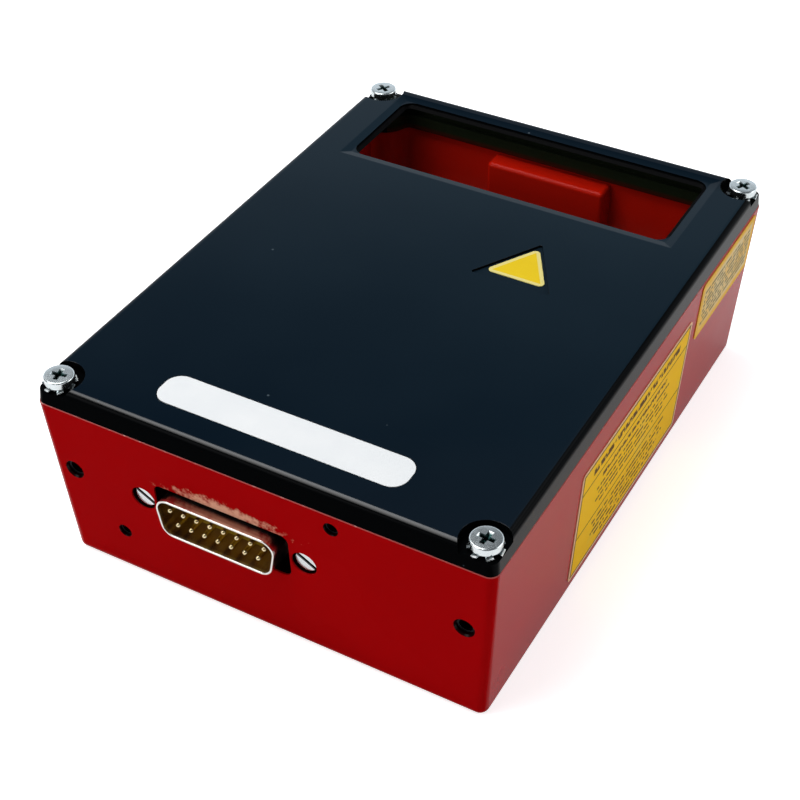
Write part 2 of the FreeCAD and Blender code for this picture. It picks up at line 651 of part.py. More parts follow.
def cover_blank():
    """The cover's outer block: leaning sides, a rounded top edge and round notches for the screws."""
    draw_in = COVER_HEIGHT * math.tan(math.radians(COVER_LEAN))
    base = (BODY_WIDTH - 2 * COVER_INSET, BODY_LENGTH - 2 * COVER_INSET)
    block = tapered_block(base, PARTING_HEIGHT, (base[0] - 2 * draw_in, base[1] - 2 * draw_in), TOP)
    block = block.makeFillet(COVER_CORNER_RADIUS, upright_edges(block))
    block = block.makeFillet(COVER_EDGE_RADIUS, edges_at(block, TOP))
    notches = [rod(NOTCH_RADIUS, vec(x, y, PARTING_HEIGHT + NOTCH_FLOOR), vec(x, y, TOP + THROUGH))
               for x, y in SCREW_PLACES]
    return block.cut(notches)


def window_block(size, z0, z1):
    """An upright block on the window's rounded outline."""
    return rounded_block(size[0], size[1], z0, z1, WINDOW_CORNER_RADIUS, 0.0, WINDOW_Y)


def window_cutter():
    """The bevelled mouth and clear opening of the window, and the pocket for the pane below."""
    opening = window_block(OPENING, GLASS_TOP - THROUGH, TOP + THROUGH)
    bevel = tapered_block(OPENING, TOP - WINDOW_BEVEL_DROP, (WINDOW_WIDTH, WINDOW_DEPTH), TOP, 0.0, WINDOW_Y)
    bevel = bevel.makeFillet(WINDOW_OUTER_RADIUS, upright_edges(bevel))
    spare = 2 * GLASS_EDGE_CLEARANCE
    pocket = window_block((GLASS[0] + spare, GLASS[1] + spare), LIP_BOTTOM - THROUGH, GLASS_TOP)
    return opening.fuse([bevel, pocket])


def triangle(side, radius, z0, z1, shift=0.0):
    """A level triangle with rounded corners, one side along X and its point towards the window."""
    centre_y = WINDOW_NEAR - TRIANGLE_WINDOW_GAP - TRIANGLE_SIDE / math.sqrt(3) + shift
    points = []
    for k in range(3):
        angle = math.radians(90 + 120 * k)
        reach = side / math.sqrt(3)
        points.append(vec(TRIANGLE_X + reach * math.cos(angle), centre_y + reach * math.sin(angle), z0))
    return round_edges(prism(points, Z_AXIS * (z1 - z0)), radius, Z_AXIS)


def skirt_block(gap, top):
    """An upright block a gap inside the tub's walls and bosses, up from the skirt's lower edge."""
    bottom = LIP_BOTTOM - SKIRT_DROP
    half_w, half_l = half_x(bottom, WALL + gap), half_y(bottom, WALL + gap)
    return around_bosses(box(-half_w, half_w, -half_l, half_l, bottom, top), gap)


def window_skirt():
    """The skirt that hangs from the lip behind and beside the window and keeps stray light off the seal."""
    root_top = GLASS_TOP - GLASS_THICKNESS - SKIRT_GLASS_GAP
    lip_middle = LIP_CLEARANCE + LIP_WALL / 2
    root = notched_block(RIM_WALL + lip_middle, RIM_BOSS_RADIUS + lip_middle, LIP_BOTTOM, root_top)
    band = skirt_block(SKIRT_WALL_GAP, LIP_BOTTOM).fuse(root)
    band = band.cut(skirt_block(SKIRT_WALL_GAP + SKIRT_THICKNESS, root_top))
    return band.common(box(-BODY_WIDTH, BODY_WIDTH, WINDOW_NEAR, BODY_LENGTH, 0, TOP))


def plate_y():
    return PLATE_FRONT_MARGIN - BODY_LENGTH / 2


def cover():
    """The cast cover: hollow underneath, with a lip inside the tub's walls, a skirt and two recesses."""
    body = cover_blank()
    inner = LIP_CLEARANCE + LIP_WALL
    ceiling = TOP - COVER_THICKNESS
    hollow = notched_block(RIM_WALL + inner, RIM_BOSS_RADIUS + inner, PARTING_HEIGHT - THROUGH, ceiling)
    body = body.cut(hollow).fuse(rim_band(LIP_CLEARANCE, LIP_WALL, LIP_BOTTOM, PARTING_HEIGHT))
    cuts = [window_cutter()]
    for x, y in SCREW_PLACES:
        cuts.append(rod(SCREW_RADIUS + HOLE_CLEARANCE, vec(x, y, PARTING_HEIGHT - THROUGH), vec(x, y, TOP)))
    cuts.append(rounded_block(PLATE_LENGTH + 2 * RECESS_CLEARANCE, PLATE_WIDTH + 2 * RECESS_CLEARANCE,
                              TOP - PLATE_THICKNESS, TOP + THROUGH, PLATE_END_RADIUS, 0.0, plate_y()))
    cuts.append(triangle(TRIANGLE_SIDE, TRIANGLE_CORNER_RADIUS, TOP - TRIANGLE_DEPTH, TOP + THROUGH))
    return body.cut(cuts).fuse(window_skirt()).removeSplitter()


def cover_seal():
    """The flat elastic ring on the tub's ledge, pressed by the cover's lip."""
    return rim_band(SEAL_CLEARANCE, SEAL_WIDTH, LEDGE_Z, LIP_BOTTOM)


def cover_screws():
    """Four zinc-plated pan screws with cross recesses."""
    screws = []
    for x, y in SCREW_PLACES:
        seat = PARTING_HEIGHT + NOTCH_FLOOR + WASHER_HEIGHT
        top = seat + SCREW_HEAD_HEIGHT
        head = rod(SCREW_HEAD_RADIUS, vec(x, y, seat), vec(x, y, top))
        head = head.makeFillet(SCREW_HEAD_ROUND, edges_at(head, top))
        point = (RECESS_TIP_SPAN, RECESS_TIP_WIDTH)
        wing = tapered_block(point, top - RECESS_DEPTH, (RECESS_SPAN, RECESS_WIDTH), top, x, y)
        cross = wing.fuse(wing.rotated(vec(x, y, 0), Z_AXIS, 90))
        shank = rod(SCREW_RADIUS, vec(x, y, PARTING_HEIGHT - SCREW_DEPTH), vec(x, y, seat))
        screws.append(head.cut(cross).fuse(shank).removeSplitter())
    return screws


def cover_lock_washers():
    """Spring-steel washers whose outer teeth are twisted to bite the cover and the screw head."""
    washers = []
    middle = PARTING_HEIGHT + NOTCH_FLOOR + WASHER_HEIGHT / 2
    bore = SCREW_RADIUS + HOLE_CLEARANCE
    tooth_start = bore + WASHER_RING_WIDTH / 2
    twist = math.degrees(math.atan2(WASHER_HEIGHT - WASHER_SHEET, WASHER_TOOTH_WIDTH))
    for x, y in SCREW_PLACES:
        centre = vec(x, y, middle)
        half = Z_AXIS * WASHER_SHEET / 2
        body = ring(bore + WASHER_RING_WIDTH, bore, centre - half, centre + half)
        teeth = []
        for k in range(WASHER_TEETH):
            tooth = box(tooth_start, WASHER_RADIUS, -WASHER_TOOTH_WIDTH / 2, WASHER_TOOTH_WIDTH / 2,
                        -WASHER_SHEET / 2, WASHER_SHEET / 2)
            tooth = tooth.rotated(vec(0, 0, 0), X_AXIS, twist)
            tooth = tooth.rotated(vec(0, 0, 0), Z_AXIS, 360 * k / WASHER_TEETH)
            teeth.append(tooth.translated(centre))
        body = body.fuse(teeth)
        slab = box(x - NOTCH_RADIUS, x + NOTCH_RADIUS, y - NOTCH_RADIUS, y + NOTCH_RADIUS,
                   middle - WASHER_HEIGHT / 2, middle + WASHER_HEIGHT / 2)
        hole = rod(bore, vec(x, y, middle - WASHER_HEIGHT), vec(x, y, middle + WASHER_HEIGHT))
        washers.append(body.common(slab).cut(hole).removeSplitter())
    return washers


def window_glass():
    """The tinted pane, bonded into its pocket from below."""
    return window_block(GLASS, GLASS_TOP - GLASS_THICKNESS, GLASS_TOP)


def window_bead():
    """The black sealant along the edge of the opening, sloping down to the pane."""
    top = GLASS_TOP + BEAD_HEIGHT
    outer = window_block(OPENING, GLASS_TOP, top)
    foot = (OPENING[0] - 2 * BEAD_FOOT, OPENING[1] - 2 * BEAD_FOOT)
    crest = (OPENING[0] - 2 * BEAD_CREST, OPENING[1] - 2 * BEAD_CREST)
    inner = tapered_block(foot, GLASS_TOP, crest, top, 0.0, WINDOW_Y)
    return outer.cut(inner.makeFillet(WINDOW_CORNER_RADIUS - BEAD_FOOT, upright_edges(inner)))


def name_plate():
    """The blank white plate, flush in its recess near the plug end."""
    floor = TOP - PLATE_THICKNESS
    return rounded_block(PLATE_LENGTH, PLATE_WIDTH, floor, TOP, PLATE_END_RADIUS, 0.0, plate_y())


def triangle_label():
    """The plain three-sided foil in the triangular recess, stuck a little towards the window."""
    floor = TOP - TRIANGLE_DEPTH
    return triangle(TRIANGLE_LABEL_SIDE, TRIANGLE_LABEL_CORNER_RADIUS, floor, floor + LABEL_THICKNESS,
                    TRIANGLE_LABEL_SHIFT)


def side_label(length, height, end, below_rim):
    """A foil on the leaning right-hand wall, its rear end at a place along Y."""
    foil = box(0, LABEL_THICKNESS, end - length, end, -below_rim - height, -below_rim)
    foil = round_edges(foil, LABEL_CORNER_RADIUS, X_AXIS)
    foil = foil.rotated(vec(0, 0, 0), Y_AXIS, WALL_LEAN)
    return foil.translated(vec(BODY_WIDTH / 2, 0, PARTING_HEIGHT))


def large_side_label():
    end = SMALL_LABEL_END - SMALL_LABEL_LENGTH - LABEL_GAP
    return side_label(LARGE_LABEL_LENGTH, LARGE_LABEL_HEIGHT, end, LARGE_LABEL_BELOW_RIM)


def small_side_label():
    return side_label(SMALL_LABEL_LENGTH, SMALL_LABEL_HEIGHT, SMALL_LABEL_END, SMALL_LABEL_BELOW_RIM)


def d_block(width, height, radius, y0, y1):
    """A block with the plug's keyed outline, its wide side up."""
    narrow = height * math.tan(math.radians(SHELL_SLANT))
    top, low = CONNECTOR_Z + height / 2, CONNECTOR_Z - height / 2
    points = [vec(CONNECTOR_X - width / 2, y0, top), vec(CONNECTOR_X + width / 2, y0, top),
              vec(CONNECTOR_X + width / 2 - narrow, y0, low), vec(CONNECTOR_X - width / 2 + narrow, y0, low)]
    return round_edges(prism(points, Y_AXIS * (y1 - y0)), radius, Y_AXIS)


def connector_shell():
    """The drawn and tinned steel shell: a keyed rim on a flange with two screw holes."""
    back = CONNECTOR_SEAT + FLANGE_THICKNESS
    flange = box(CONNECTOR_X - FLANGE_WIDTH / 2, CONNECTOR_X + FLANGE_WIDTH / 2, CONNECTOR_SEAT, back,
                 CONNECTOR_Z - FLANGE_HEIGHT / 2, CONNECTOR_Z + FLANGE_HEIGHT / 2)
    flange = round_edges(flange, FLANGE_RADIUS, Y_AXIS)
    body = d_block(SHELL_WIDTH, SHELL_HEIGHT, SHELL_RADIUS, SHELL_TIP, back).fuse(flange)
    sheets = 2 * SHELL_SHEET
    inside = d_block(SHELL_WIDTH - sheets, SHELL_HEIGHT - sheets, SHELL_RADIUS - SHELL_SHEET,
                     SHELL_TIP - THROUGH, back + THROUGH)
    holes = [hole_y(JACK_RADIUS + HOLE_CLEARANCE, x, CONNECTOR_Z, CONNECTOR_SEAT, back) for x in JACK_PLACES]
    return body.cut([inside] + holes).removeSplitter()


def pin_places():
    """The two rows of contacts, the longer one above."""
    places = []
    for row, count in ((0.5, UPPER_PIN_COUNT), (-0.5, UPPER_PIN_COUNT - 1)):
        for k in range(count):
            places.append((CONNECTOR_X + (k - (count - 1) / 2) * PIN_PITCH, CONNECTOR_Z + row * PIN_ROW_GAP))
    return places


def connector_insulator():
    """The moulded block that holds the contacts, keyed into the shell."""
    clear = SHELL_SHEET + SEAT_CLEARANCE
    front = CONNECTOR_SEAT - INSULATOR_FACE
    back = CONNECTOR_SEAT + FLANGE_THICKNESS
    nose = d_block(SHELL_WIDTH - 2 * clear, SHELL_HEIGHT - 2 * clear, SHELL_RADIUS - clear, front, back)
    body = box(CONNECTOR_X - INSULATOR_WIDTH / 2, CONNECTOR_X + INSULATOR_WIDTH / 2, back, INSULATOR_BACK,
               CONNECTOR_Z - INSULATOR_HEIGHT / 2, CONNECTOR_Z + INSULATOR_HEIGHT / 2)
    holes = [hole_y(PIN_RADIUS + SEAT_CLEARANCE, x, z, front, INSULATOR_BACK) for x, z in pin_places()]
    return nose.fuse(body).cut(holes).removeSplitter()


def connector_pins():
    """Round contacts with tapered tips and thin solder tails."""
    start = SHELL_TIP + PIN_SETBACK
    seat = INSULATOR_BACK - start
    end = CONNECTOR_BOARD_BACK + PIN_TAIL_SPARE - start
    profile = [(0, 0), (PIN_TIP_RADIUS, 0), (PIN_RADIUS, PIN_TIP_LENGTH), (PIN_RADIUS, seat),
               (PIN_TAIL_RADIUS, seat), (PIN_TAIL_RADIUS, end), (0, end)]
    return [revolved(profile, vec(x, start, z), Y_AXIS) for x, z in pin_places()]


def connector_screws():
    """Two slotted cheese-head screws through the wall and the flange."""
    screws = []
    for x in JACK_PLACES:
        front = vec(x, CONNECTOR_FACE + JACK_HEAD_SETBACK, CONNECTOR_Z)
        seat = front + Y_AXIS * JACK_HEAD_HEIGHT
        head = rod(JACK_HEAD_RADIUS, front, seat)
        reach, half = 2 * JACK_HEAD_RADIUS, JACK_SLOT_WIDTH / 2
        slot = box(-reach, reach, -THROUGH, JACK_SLOT_DEPTH, -half, half)
        slot = slot.rotated(vec(0, 0, 0), Y_AXIS, JACK_SLOT_ANGLE).translated(front)
        end = vec(x, CONNECTOR_SEAT + FLANGE_THICKNESS + NUT_HEIGHT + NUT_SPARE, CONNECTOR_Z)
        screws.append(head.cut(slot).fuse(rod(JACK_RADIUS, seat, end)).removeSplitter())
    return screws


def connector_nuts():
    """Two hexagon nuts behind the flange."""
    nuts = []
    for x in JACK_PLACES:
        seat = CONNECTOR_SEAT + FLANGE_THICKNESS
        reach = NUT_FLATS / math.sqrt(3)
        angles = [math.radians(60 * k) for k in range(6)]
        points = [vec(x + reach * math.cos(a), seat, CONNECTOR_Z + reach * math.sin(a)) for a in angles]
        bore = hole_y(JACK_RADIUS + THREAD_CLEARANCE, x, CONNECTOR_Z, seat, seat + NUT_HEIGHT)
        nuts.append(prism(points, Y_AXIS * NUT_HEIGHT).cut(bore))
    return nuts


def connector_board():
    """The upright circuit board soldered to the plug's tails."""
    board = box(CONNECTOR_X - CONNECTOR_BOARD_WIDTH / 2, CONNECTOR_X + CONNECTOR_BOARD_WIDTH / 2,
                INSULATOR_BACK, CONNECTOR_BOARD_BACK,
                CONNECTOR_Z - CONNECTOR_BOARD_HEIGHT / 2, CONNECTOR_Z + CONNECTOR_BOARD_HEIGHT / 2)
    bore = PIN_TAIL_RADIUS + SEAT_CLEARANCE
    holes = [hole_y(bore, x, z, INSULATOR_BACK, CONNECTOR_BOARD_BACK) for x, z in pin_places()]
    return board.cut(holes)


def board_header():
    """The angled header that joins the plug's board to the main board."""
    return box(CONNECTOR_X - HEADER_WIDTH / 2, CONNECTOR_X + HEADER_WIDTH / 2, CONNECTOR_BOARD_BACK,
               CONNECTOR_BOARD_BACK + HEADER_DEPTH, MAIN_BOARD_TOP, MAIN_BOARD_TOP + HEADER_HEIGHT)


def main_board():
    """The main circuit board on the four posts."""
    board = box(-MAIN_BOARD_HALF, MAIN_BOARD_HALF, MAIN_BOARD_FRONT, MAIN_BOARD_REAR,
                MAIN_BOARD_Z, MAIN_BOARD_TOP)
    bore = BOARD_SCREW_RADIUS + HOLE_CLEARANCE
    holes = [hole_z(bore, x, y, MAIN_BOARD_Z, MAIN_BOARD_TOP) for x, y in POST_PLACES]
    return board.cut(holes)


def main_board_screws():
    depth = BOARD_THICKNESS + BOARD_SCREW_DEPTH - BOARD_SCREW_SPARE
    return [pan_screw(BOARD_SCREW_HEAD_RADIUS, BOARD_SCREW_HEAD_HEIGHT, BOARD_SCREW_RADIUS, depth,
                      vec(x, y, MAIN_BOARD_TOP), -Z_AXIS) for x, y in POST_PLACES]


def circuit_chips():
    """The decoder and its memory, as flat moulded packages."""
    chips = []
    for x, side in ((-CHIP_SIDE, CHIP_SIDE), (CHIP_SIDE / 2, MEMORY_SIDE)):
        half = side / 2
        chips.append(box(x - half, x + half, MAIN_BOARD_Y - half, MAIN_BOARD_Y + half,
                         MAIN_BOARD_TOP, MAIN_BOARD_TOP + CHIP_HEIGHT))
    return chips


def capacitors():
    """Three upright electrolytic capacitors in a row."""
    x = MAIN_BOARD_HALF - 2 * POST_INSET - CAPACITOR_RADIUS
    top = MAIN_BOARD_TOP + CAPACITOR_HEIGHT
    cans = []
    for k in (-1, 0, 1):
        y = MAIN_BOARD_Y + k * CAPACITOR_PITCH
        cans.append(rod(CAPACITOR_RADIUS, vec(x, y, MAIN_BOARD_TOP), vec(x, y, top)))
    return cans


def crystal():
    """The clock crystal in its oval can."""
    y = MAIN_BOARD_Y + CHIP_SIDE
    half = CRYSTAL_WIDTH / 2
    end, top = CRYSTAL_LENGTH / 2 - half, MAIN_BOARD_TOP + CRYSTAL_HEIGHT
    can = box(-end, end, y - half, y + half, MAIN_BOARD_TOP, top)
    caps = [rod(half, vec(x, y, MAIN_BOARD_TOP), vec(x, y, top)) for x in (-end, end)]
    return can.fuse(caps).removeSplitter()


def deflection_mirror():
    """The long front-silvered glass strip that turns the fan of light up through the window."""
    half = MIRROR_WIDTH / 2
    x = -MIRROR_LENGTH / 2
    outline = [mirror_point(-half, 0, x), mirror_point(half, 0, x),
               mirror_point(half, MIRROR_THICKNESS, x), mirror_point(-half, MIRROR_THICKNESS, x)]
    return prism(outline, X_AXIS * MIRROR_LENGTH)


def mirror_pads():
    """Elastic adhesive pads between the mirror and its three ribs."""
    pads = []
    half = MIRROR_WIDTH / 2
    back = MIRROR_THICKNESS + MIRROR_PAD_THICKNESS
    for i in (-1, 0, 1):
        x = i * MIRROR_RIB_SPACING - MIRROR_RIB_WIDTH / 2
        outline = [mirror_point(-half, MIRROR_THICKNESS, x), mirror_point(half, MIRROR_THICKNESS, x),
                   mirror_point(half, back, x), mirror_point(-half, back, x)]
        pads.append(prism(outline, X_AXIS * MIRROR_RIB_WIDTH))
    return pads


def axis_point(z):
    """A point on the spinning mirror's axis."""
    return vec(0, POLYGON_Y, z)


def motor_plate():
    """The punched steel plate that carries the motor on four cast pads."""
    plate = rounded_block(MOTOR_PLATE_WIDTH, MOTOR_PLATE_LENGTH, MOTOR_PLATE_Z, MOTOR_PLATE_TOP,
                          MOTOR_PLATE_RADIUS, 0.0, POLYGON_Y)
    bore = MOTOR_SCREW_RADIUS + HOLE_CLEARANCE
    holes = [hole_z(bore, x, y, MOTOR_PLATE_Z, MOTOR_PLATE_TOP) for x, y in MOTOR_SCREW_PLACES]
    holes.append(hole_z(BUSH_RADIUS + SEAT_CLEARANCE, 0, POLYGON_Y, MOTOR_PLATE_Z, MOTOR_PLATE_TOP))
    return plate.cut(holes)


def motor_screws():
    depth = MOTOR_PLATE_TOP - SCREW_FLOOR_CAP - THREAD_CLEARANCE
    return [pan_screw(MOTOR_SCREW_HEAD_RADIUS, MOTOR_SCREW_HEAD_HEIGHT, MOTOR_SCREW_RADIUS, depth,
                      vec(x, y, MOTOR_PLATE_TOP), -Z_AXIS) for x, y in MOTOR_SCREW_PLACES]


def bush_top():
    return ROTOR_UNDER - BUSH_TOP_CLEARANCE


def stator_z():
    return MOTOR_PLATE_TOP + BUSH_SHOULDER_HEIGHT


def bearing_bush():
    """The sintered bronze bush: pressed in the plate, with a shoulder under the stator."""
    bore = SHAFT_RADIUS + SHAFT_RUNNING_CLEARANCE
    start = MOTOR_PLATE_Z
    shoulder = MOTOR_PLATE_TOP - start
    profile = [(bore, 0), (BUSH_RADIUS, 0), (BUSH_RADIUS, shoulder), (BUSH_SHOULDER_RADIUS, shoulder),
               (BUSH_SHOULDER_RADIUS, stator_z() - start), (BUSH_RADIUS, stator_z() - start),
               (BUSH_RADIUS, bush_top() - start), (bore, bush_top() - start)]
    return revolved(profile, axis_point(start), Z_AXIS)


def thrust_disc():
    """The hard disc under the bush, on which the shaft's end turns."""
    low = MOTOR_PLATE_Z - THRUST_DISC_THICKNESS
    return rod(THRUST_DISC_RADIUS, axis_point(low), axis_point(MOTOR_PLATE_Z))


def stator_radius():
    return ROTOR_RADIUS - ROTOR_SHEET - MAGNET_THICKNESS - AIR_GAP


def stator_core():
    """The laminated core: a hub, straight arms and curved pole shoes."""
    low, high = stator_z(), stator_z() + STATOR_THICKNESS
    outer = stator_radius()
    inner = outer - STATOR_SHOE_THICKNESS
    hub = rod(BUSH_RADIUS + STATOR_HUB_WALL, axis_point(low), axis_point(high))
    shoe_ring = ring(outer, inner, axis_point(low), axis_point(high))
    half = math.radians(STATOR_SHOE_ANGLE / 2)
    far_x, far_y = 2 * outer * math.cos(half), 2 * outer * math.sin(half)
    wedge = prism([vec(0, 0, low), vec(far_x, -far_y, low), vec(far_x, far_y, low)], Z_AXIS * (high - low))
    reach, half_arm = inner + STATOR_SHOE_THICKNESS / 2, STATOR_ARM_WIDTH / 2
    arm = box(0, reach, -half_arm, half_arm, low, high)
    pieces = [hub]
    for k in range(STATOR_POLES):
        turn = 360 * k / STATOR_POLES
        pieces.append(arm.rotated(vec(0, 0, 0), Z_AXIS, turn).translated(axis_point(0)))
        pieces.append(shoe_ring.common(wedge.rotated(vec(0, 0, 0), Z_AXIS, turn).translated(axis_point(0))))
    core = pieces[0].fuse(pieces[1:])
    return core.cut(hole_z(BUSH_RADIUS + SEAT_CLEARANCE, 0, POLYGON_Y, low, high)).removeSplitter()


def stator_coils():
    """One copper winding on each arm."""
    low, high = stator_z(), stator_z() + STATOR_THICKNESS
    core_half = STATOR_ARM_WIDTH / 2 + SEAT_CLEARANCE
    shoe = stator_radius() - STATOR_SHOE_THICKNESS
    end = math.sqrt(shoe ** 2 - (core_half + COIL_BUILD) ** 2) - COIL_END_GAP
    hub_side = BUSH_RADIUS + STATOR_HUB_WALL + COIL_END_GAP
    neighbour_side = core_half / math.tan(math.radians(180 / STATOR_POLES)) + COIL_BUILD
    start = max(hub_side, neighbour_side)
    coils = []
    for k in range(STATOR_POLES):
        half = core_half + COIL_BUILD
        turns = box(start, end, -half, half, low - COIL_BUILD, high + COIL_BUILD)
        turns = round_edges(turns, COIL_ROUND, X_AXIS)
        turns = turns.cut(box(0, 2 * end, -core_half, core_half, low - SEAT_CLEARANCE, high + SEAT_CLEARANCE))
        coils.append(turns.rotated(vec(0, 0, 0), Z_AXIS, 360 * k / STATOR_POLES).translated(axis_point(0)))
    return coils


def motor_shaft():
    """The ground steel shaft, grooved for its retaining clip."""
    low = MOTOR_PLATE_Z + SHAFT_END_PLAY
    groove = POLYGON_SEAT + SPRING_SHEET
    neck = SHAFT_RADIUS - CLIP_GROOVE
    rise, over = groove - low, groove + CLIP_THICKNESS - low
    end = POLYGON_TOP + SHAFT_TOP - low
    profile = [(0, 0), (SHAFT_RADIUS, 0), (SHAFT_RADIUS, rise), (neck, rise), (neck, over),
               (SHAFT_RADIUS, over), (SHAFT_RADIUS, end), (0, end)]
    return revolved(profile, axis_point(low), Z_AXIS)


def rotor_cup():
    """The drawn steel cup with the hub that centres the spinning mirror."""
    skirt = MOTOR_PLATE_TOP + ROTOR_PLATE_CLEARANCE
    bore = SHAFT_RADIUS + SEAT_CLEARANCE
    inner = ROTOR_RADIUS - ROTOR_SHEET
    hub_top = POLYGON_Z + ROTOR_HUB_HEIGHT
    profile = [(bore, ROTOR_UNDER - skirt), (inner, ROTOR_UNDER - skirt), (inner, 0), (ROTOR_RADIUS, 0),
               (ROTOR_RADIUS, POLYGON_Z - skirt), (BUSH_RADIUS, POLYGON_Z - skirt),
               (BUSH_RADIUS, hub_top - skirt), (bore, hub_top - skirt)]
    return revolved(profile, axis_point(skirt), Z_AXIS)


def rotor_magnet():
    """The ring magnet bonded inside the cup."""
    seat = ROTOR_RADIUS - ROTOR_SHEET
    low, high = axis_point(ROTOR_UNDER - MAGNET_HEIGHT), axis_point(ROTOR_UNDER)
    return ring(seat - SEAT_CLEARANCE, seat - MAGNET_THICKNESS, low, high)


def polygon_mirror():
    """The turned and polished wheel whose flat sides throw the beam across the window."""
    reach = POLYGON_INRADIUS / math.cos(math.pi / POLYGON_SIDES)
    points = []
    for k in range(POLYGON_SIDES):
        angle = 2 * math.pi * (k + 0.5) / POLYGON_SIDES
        points.append(vec(reach * math.cos(angle), POLYGON_Y + reach * math.sin(angle), POLYGON_Z))
    wheel = prism(points, Z_AXIS * POLYGON_HEIGHT)
    wheel = wheel.makeChamfer(POLYGON_EDGE_CHAMFER, edges_at(wheel, POLYGON_Z) + edges_at(wheel, POLYGON_TOP))
    bore = hole_z(BUSH_RADIUS + SEAT_CLEARANCE, 0, POLYGON_Y, POLYGON_Z, POLYGON_TOP)
    recess = rod(POLYGON_RECESS_RADIUS, axis_point(POLYGON_SEAT), axis_point(POLYGON_TOP + THROUGH))
    return wheel.cut([bore, recess])


def mirror_spring():
    """The three-armed spring that presses the spinning mirror on its hub."""
    span = POLYGON_RECESS_RADIUS - SPRING_SPAN_CLEARANCE
    low, high = axis_point(POLYGON_SEAT), axis_point(POLYGON_SEAT + SPRING_SHEET)
    arms = [rod(CLIP_RADIUS, low, high)]
    for k in range(SPRING_ARMS):
        arm = box(0, span, -SPRING_ARM_WIDTH / 2, SPRING_ARM_WIDTH / 2, low.z, high.z)
        arms.append(arm.rotated(vec(0, 0, 0), Z_AXIS, 360 * k / SPRING_ARMS).translated(axis_point(0)))
    disc = arms[0].fuse(arms[1:]).common(rod(span, low, high))
    return disc.cut(hole_z(SHAFT_RADIUS + SEAT_CLEARANCE, 0, POLYGON_Y, low.z, high.z)).removeSplitter()


def retaining_clip():
    """The open ring that snaps into the shaft's groove."""
    low = axis_point(POLYGON_SEAT + SPRING_SHEET)
    high = low + Z_AXIS * CLIP_THICKNESS
    neck = SHAFT_RADIUS - CLIP_GROOVE
    body = ring(CLIP_RADIUS, neck + SEAT_CLEARANCE, low, high)
    mouth = box(0, 2 * CLIP_RADIUS, POLYGON_Y - neck, POLYGON_Y + neck, low.z - THROUGH, high.z + THROUGH)
    return body.cut(mouth)


def motor_ribbon():
    """The flat flexible lead from the motor plate up to the main board."""
    front = POLYGON_Y - MOTOR_PLATE_LENGTH / 2
    x = RIBBON_X - RIBBON_WIDTH / 2
    rise = front - RIBBON_THICKNESS
    tail = front + RIBBON_TAIL
    over = MOTOR_PLATE_TOP + RIBBON_THICKNESS
    outline = [vec(x, tail, MOTOR_PLATE_TOP), vec(x, tail, over), vec(x, front, over),
               vec(x, front, MAIN_BOARD_Z), vec(x, rise, MAIN_BOARD_Z), vec(x, rise, MOTOR_PLATE_TOP)]
    return prism(outline, X_AXIS * RIBBON_WIDTH)


def barrel_point(d):
    """A point on the laser's axis, a distance along it from the spinning mirror's plane."""
    return vec(d, BEAM_Y, OPTICAL_HEIGHT)


def diode_x():
    return BARREL_START + BARREL_LENGTH - DIODE_FLANGE_THICKNESS


def laser_barrel():
    """The turned brass barrel: a lens seat in front and a diode seat behind."""
    length = BARREL_LENGTH
    lens_seat = LENS_SETBACK + LENS_EDGE + LENS_CROWN
    diode_seat = length - DIODE_FLANGE_THICKNESS
    can_seat = diode_seat - DIODE_CAN_LENGTH - HOLE_CLEARANCE
    lens_bore = LENS_RADIUS + SEAT_CLEARANCE
    flange_bore = DIODE_FLANGE_RADIUS + SEAT_CLEARANCE
    can_bore = DIODE_CAN_RADIUS + HOLE_CLEARANCE
    profile = [(lens_bore, 0), (BARREL_RADIUS, 0), (BARREL_RADIUS, length), (flange_bore, length),
               (flange_bore, diode_seat), (can_bore, diode_seat), (can_bore, can_seat),
               (BARREL_BORE, can_seat), (BARREL_BORE, lens_seat), (lens_bore, lens_seat)]
    return revolved(profile, barrel_point(BARREL_START), X_AXIS)


def collimating_lens():
    flat = barrel_point(BARREL_START + LENS_SETBACK + LENS_EDGE + LENS_CROWN)
    return lens(LENS_RADIUS, LENS_EDGE, LENS_CROWN, flat, -X_AXIS)


def laser_diode():
    """The laser in its metal can, with three leads."""
    seat = diode_x()
    flange = rod(DIODE_FLANGE_RADIUS, barrel_point(seat), barrel_point(seat + DIODE_FLANGE_THICKNESS))
    can = rod(DIODE_CAN_RADIUS, barrel_point(seat - DIODE_CAN_LENGTH), barrel_point(seat))
    leads = []
    for k in range(3):
        angle = math.radians(90 + 120 * k)
        offset = vec(0, DIODE_LEAD_CIRCLE * math.cos(angle), DIODE_LEAD_CIRCLE * math.sin(angle))
        start = barrel_point(seat + DIODE_FLANGE_THICKNESS) + offset
        leads.append(rod(DIODE_LEAD_RADIUS, start, start + X_AXIS * LASER_BOARD_GAP))
    return flange.fuse([can] + leads).removeSplitter()


def laser_board():
    """The small upright board behind the laser, reaching up to the main board."""
    x = LASER_BOARD_X
    return box(x, x + BOARD_THICKNESS, BEAM_Y - LASER_BOARD_WIDTH / 2, BEAM_Y + LASER_BOARD_WIDTH / 2,
               OPTICAL_HEIGHT - BARREL_RADIUS, MAIN_BOARD_Z)


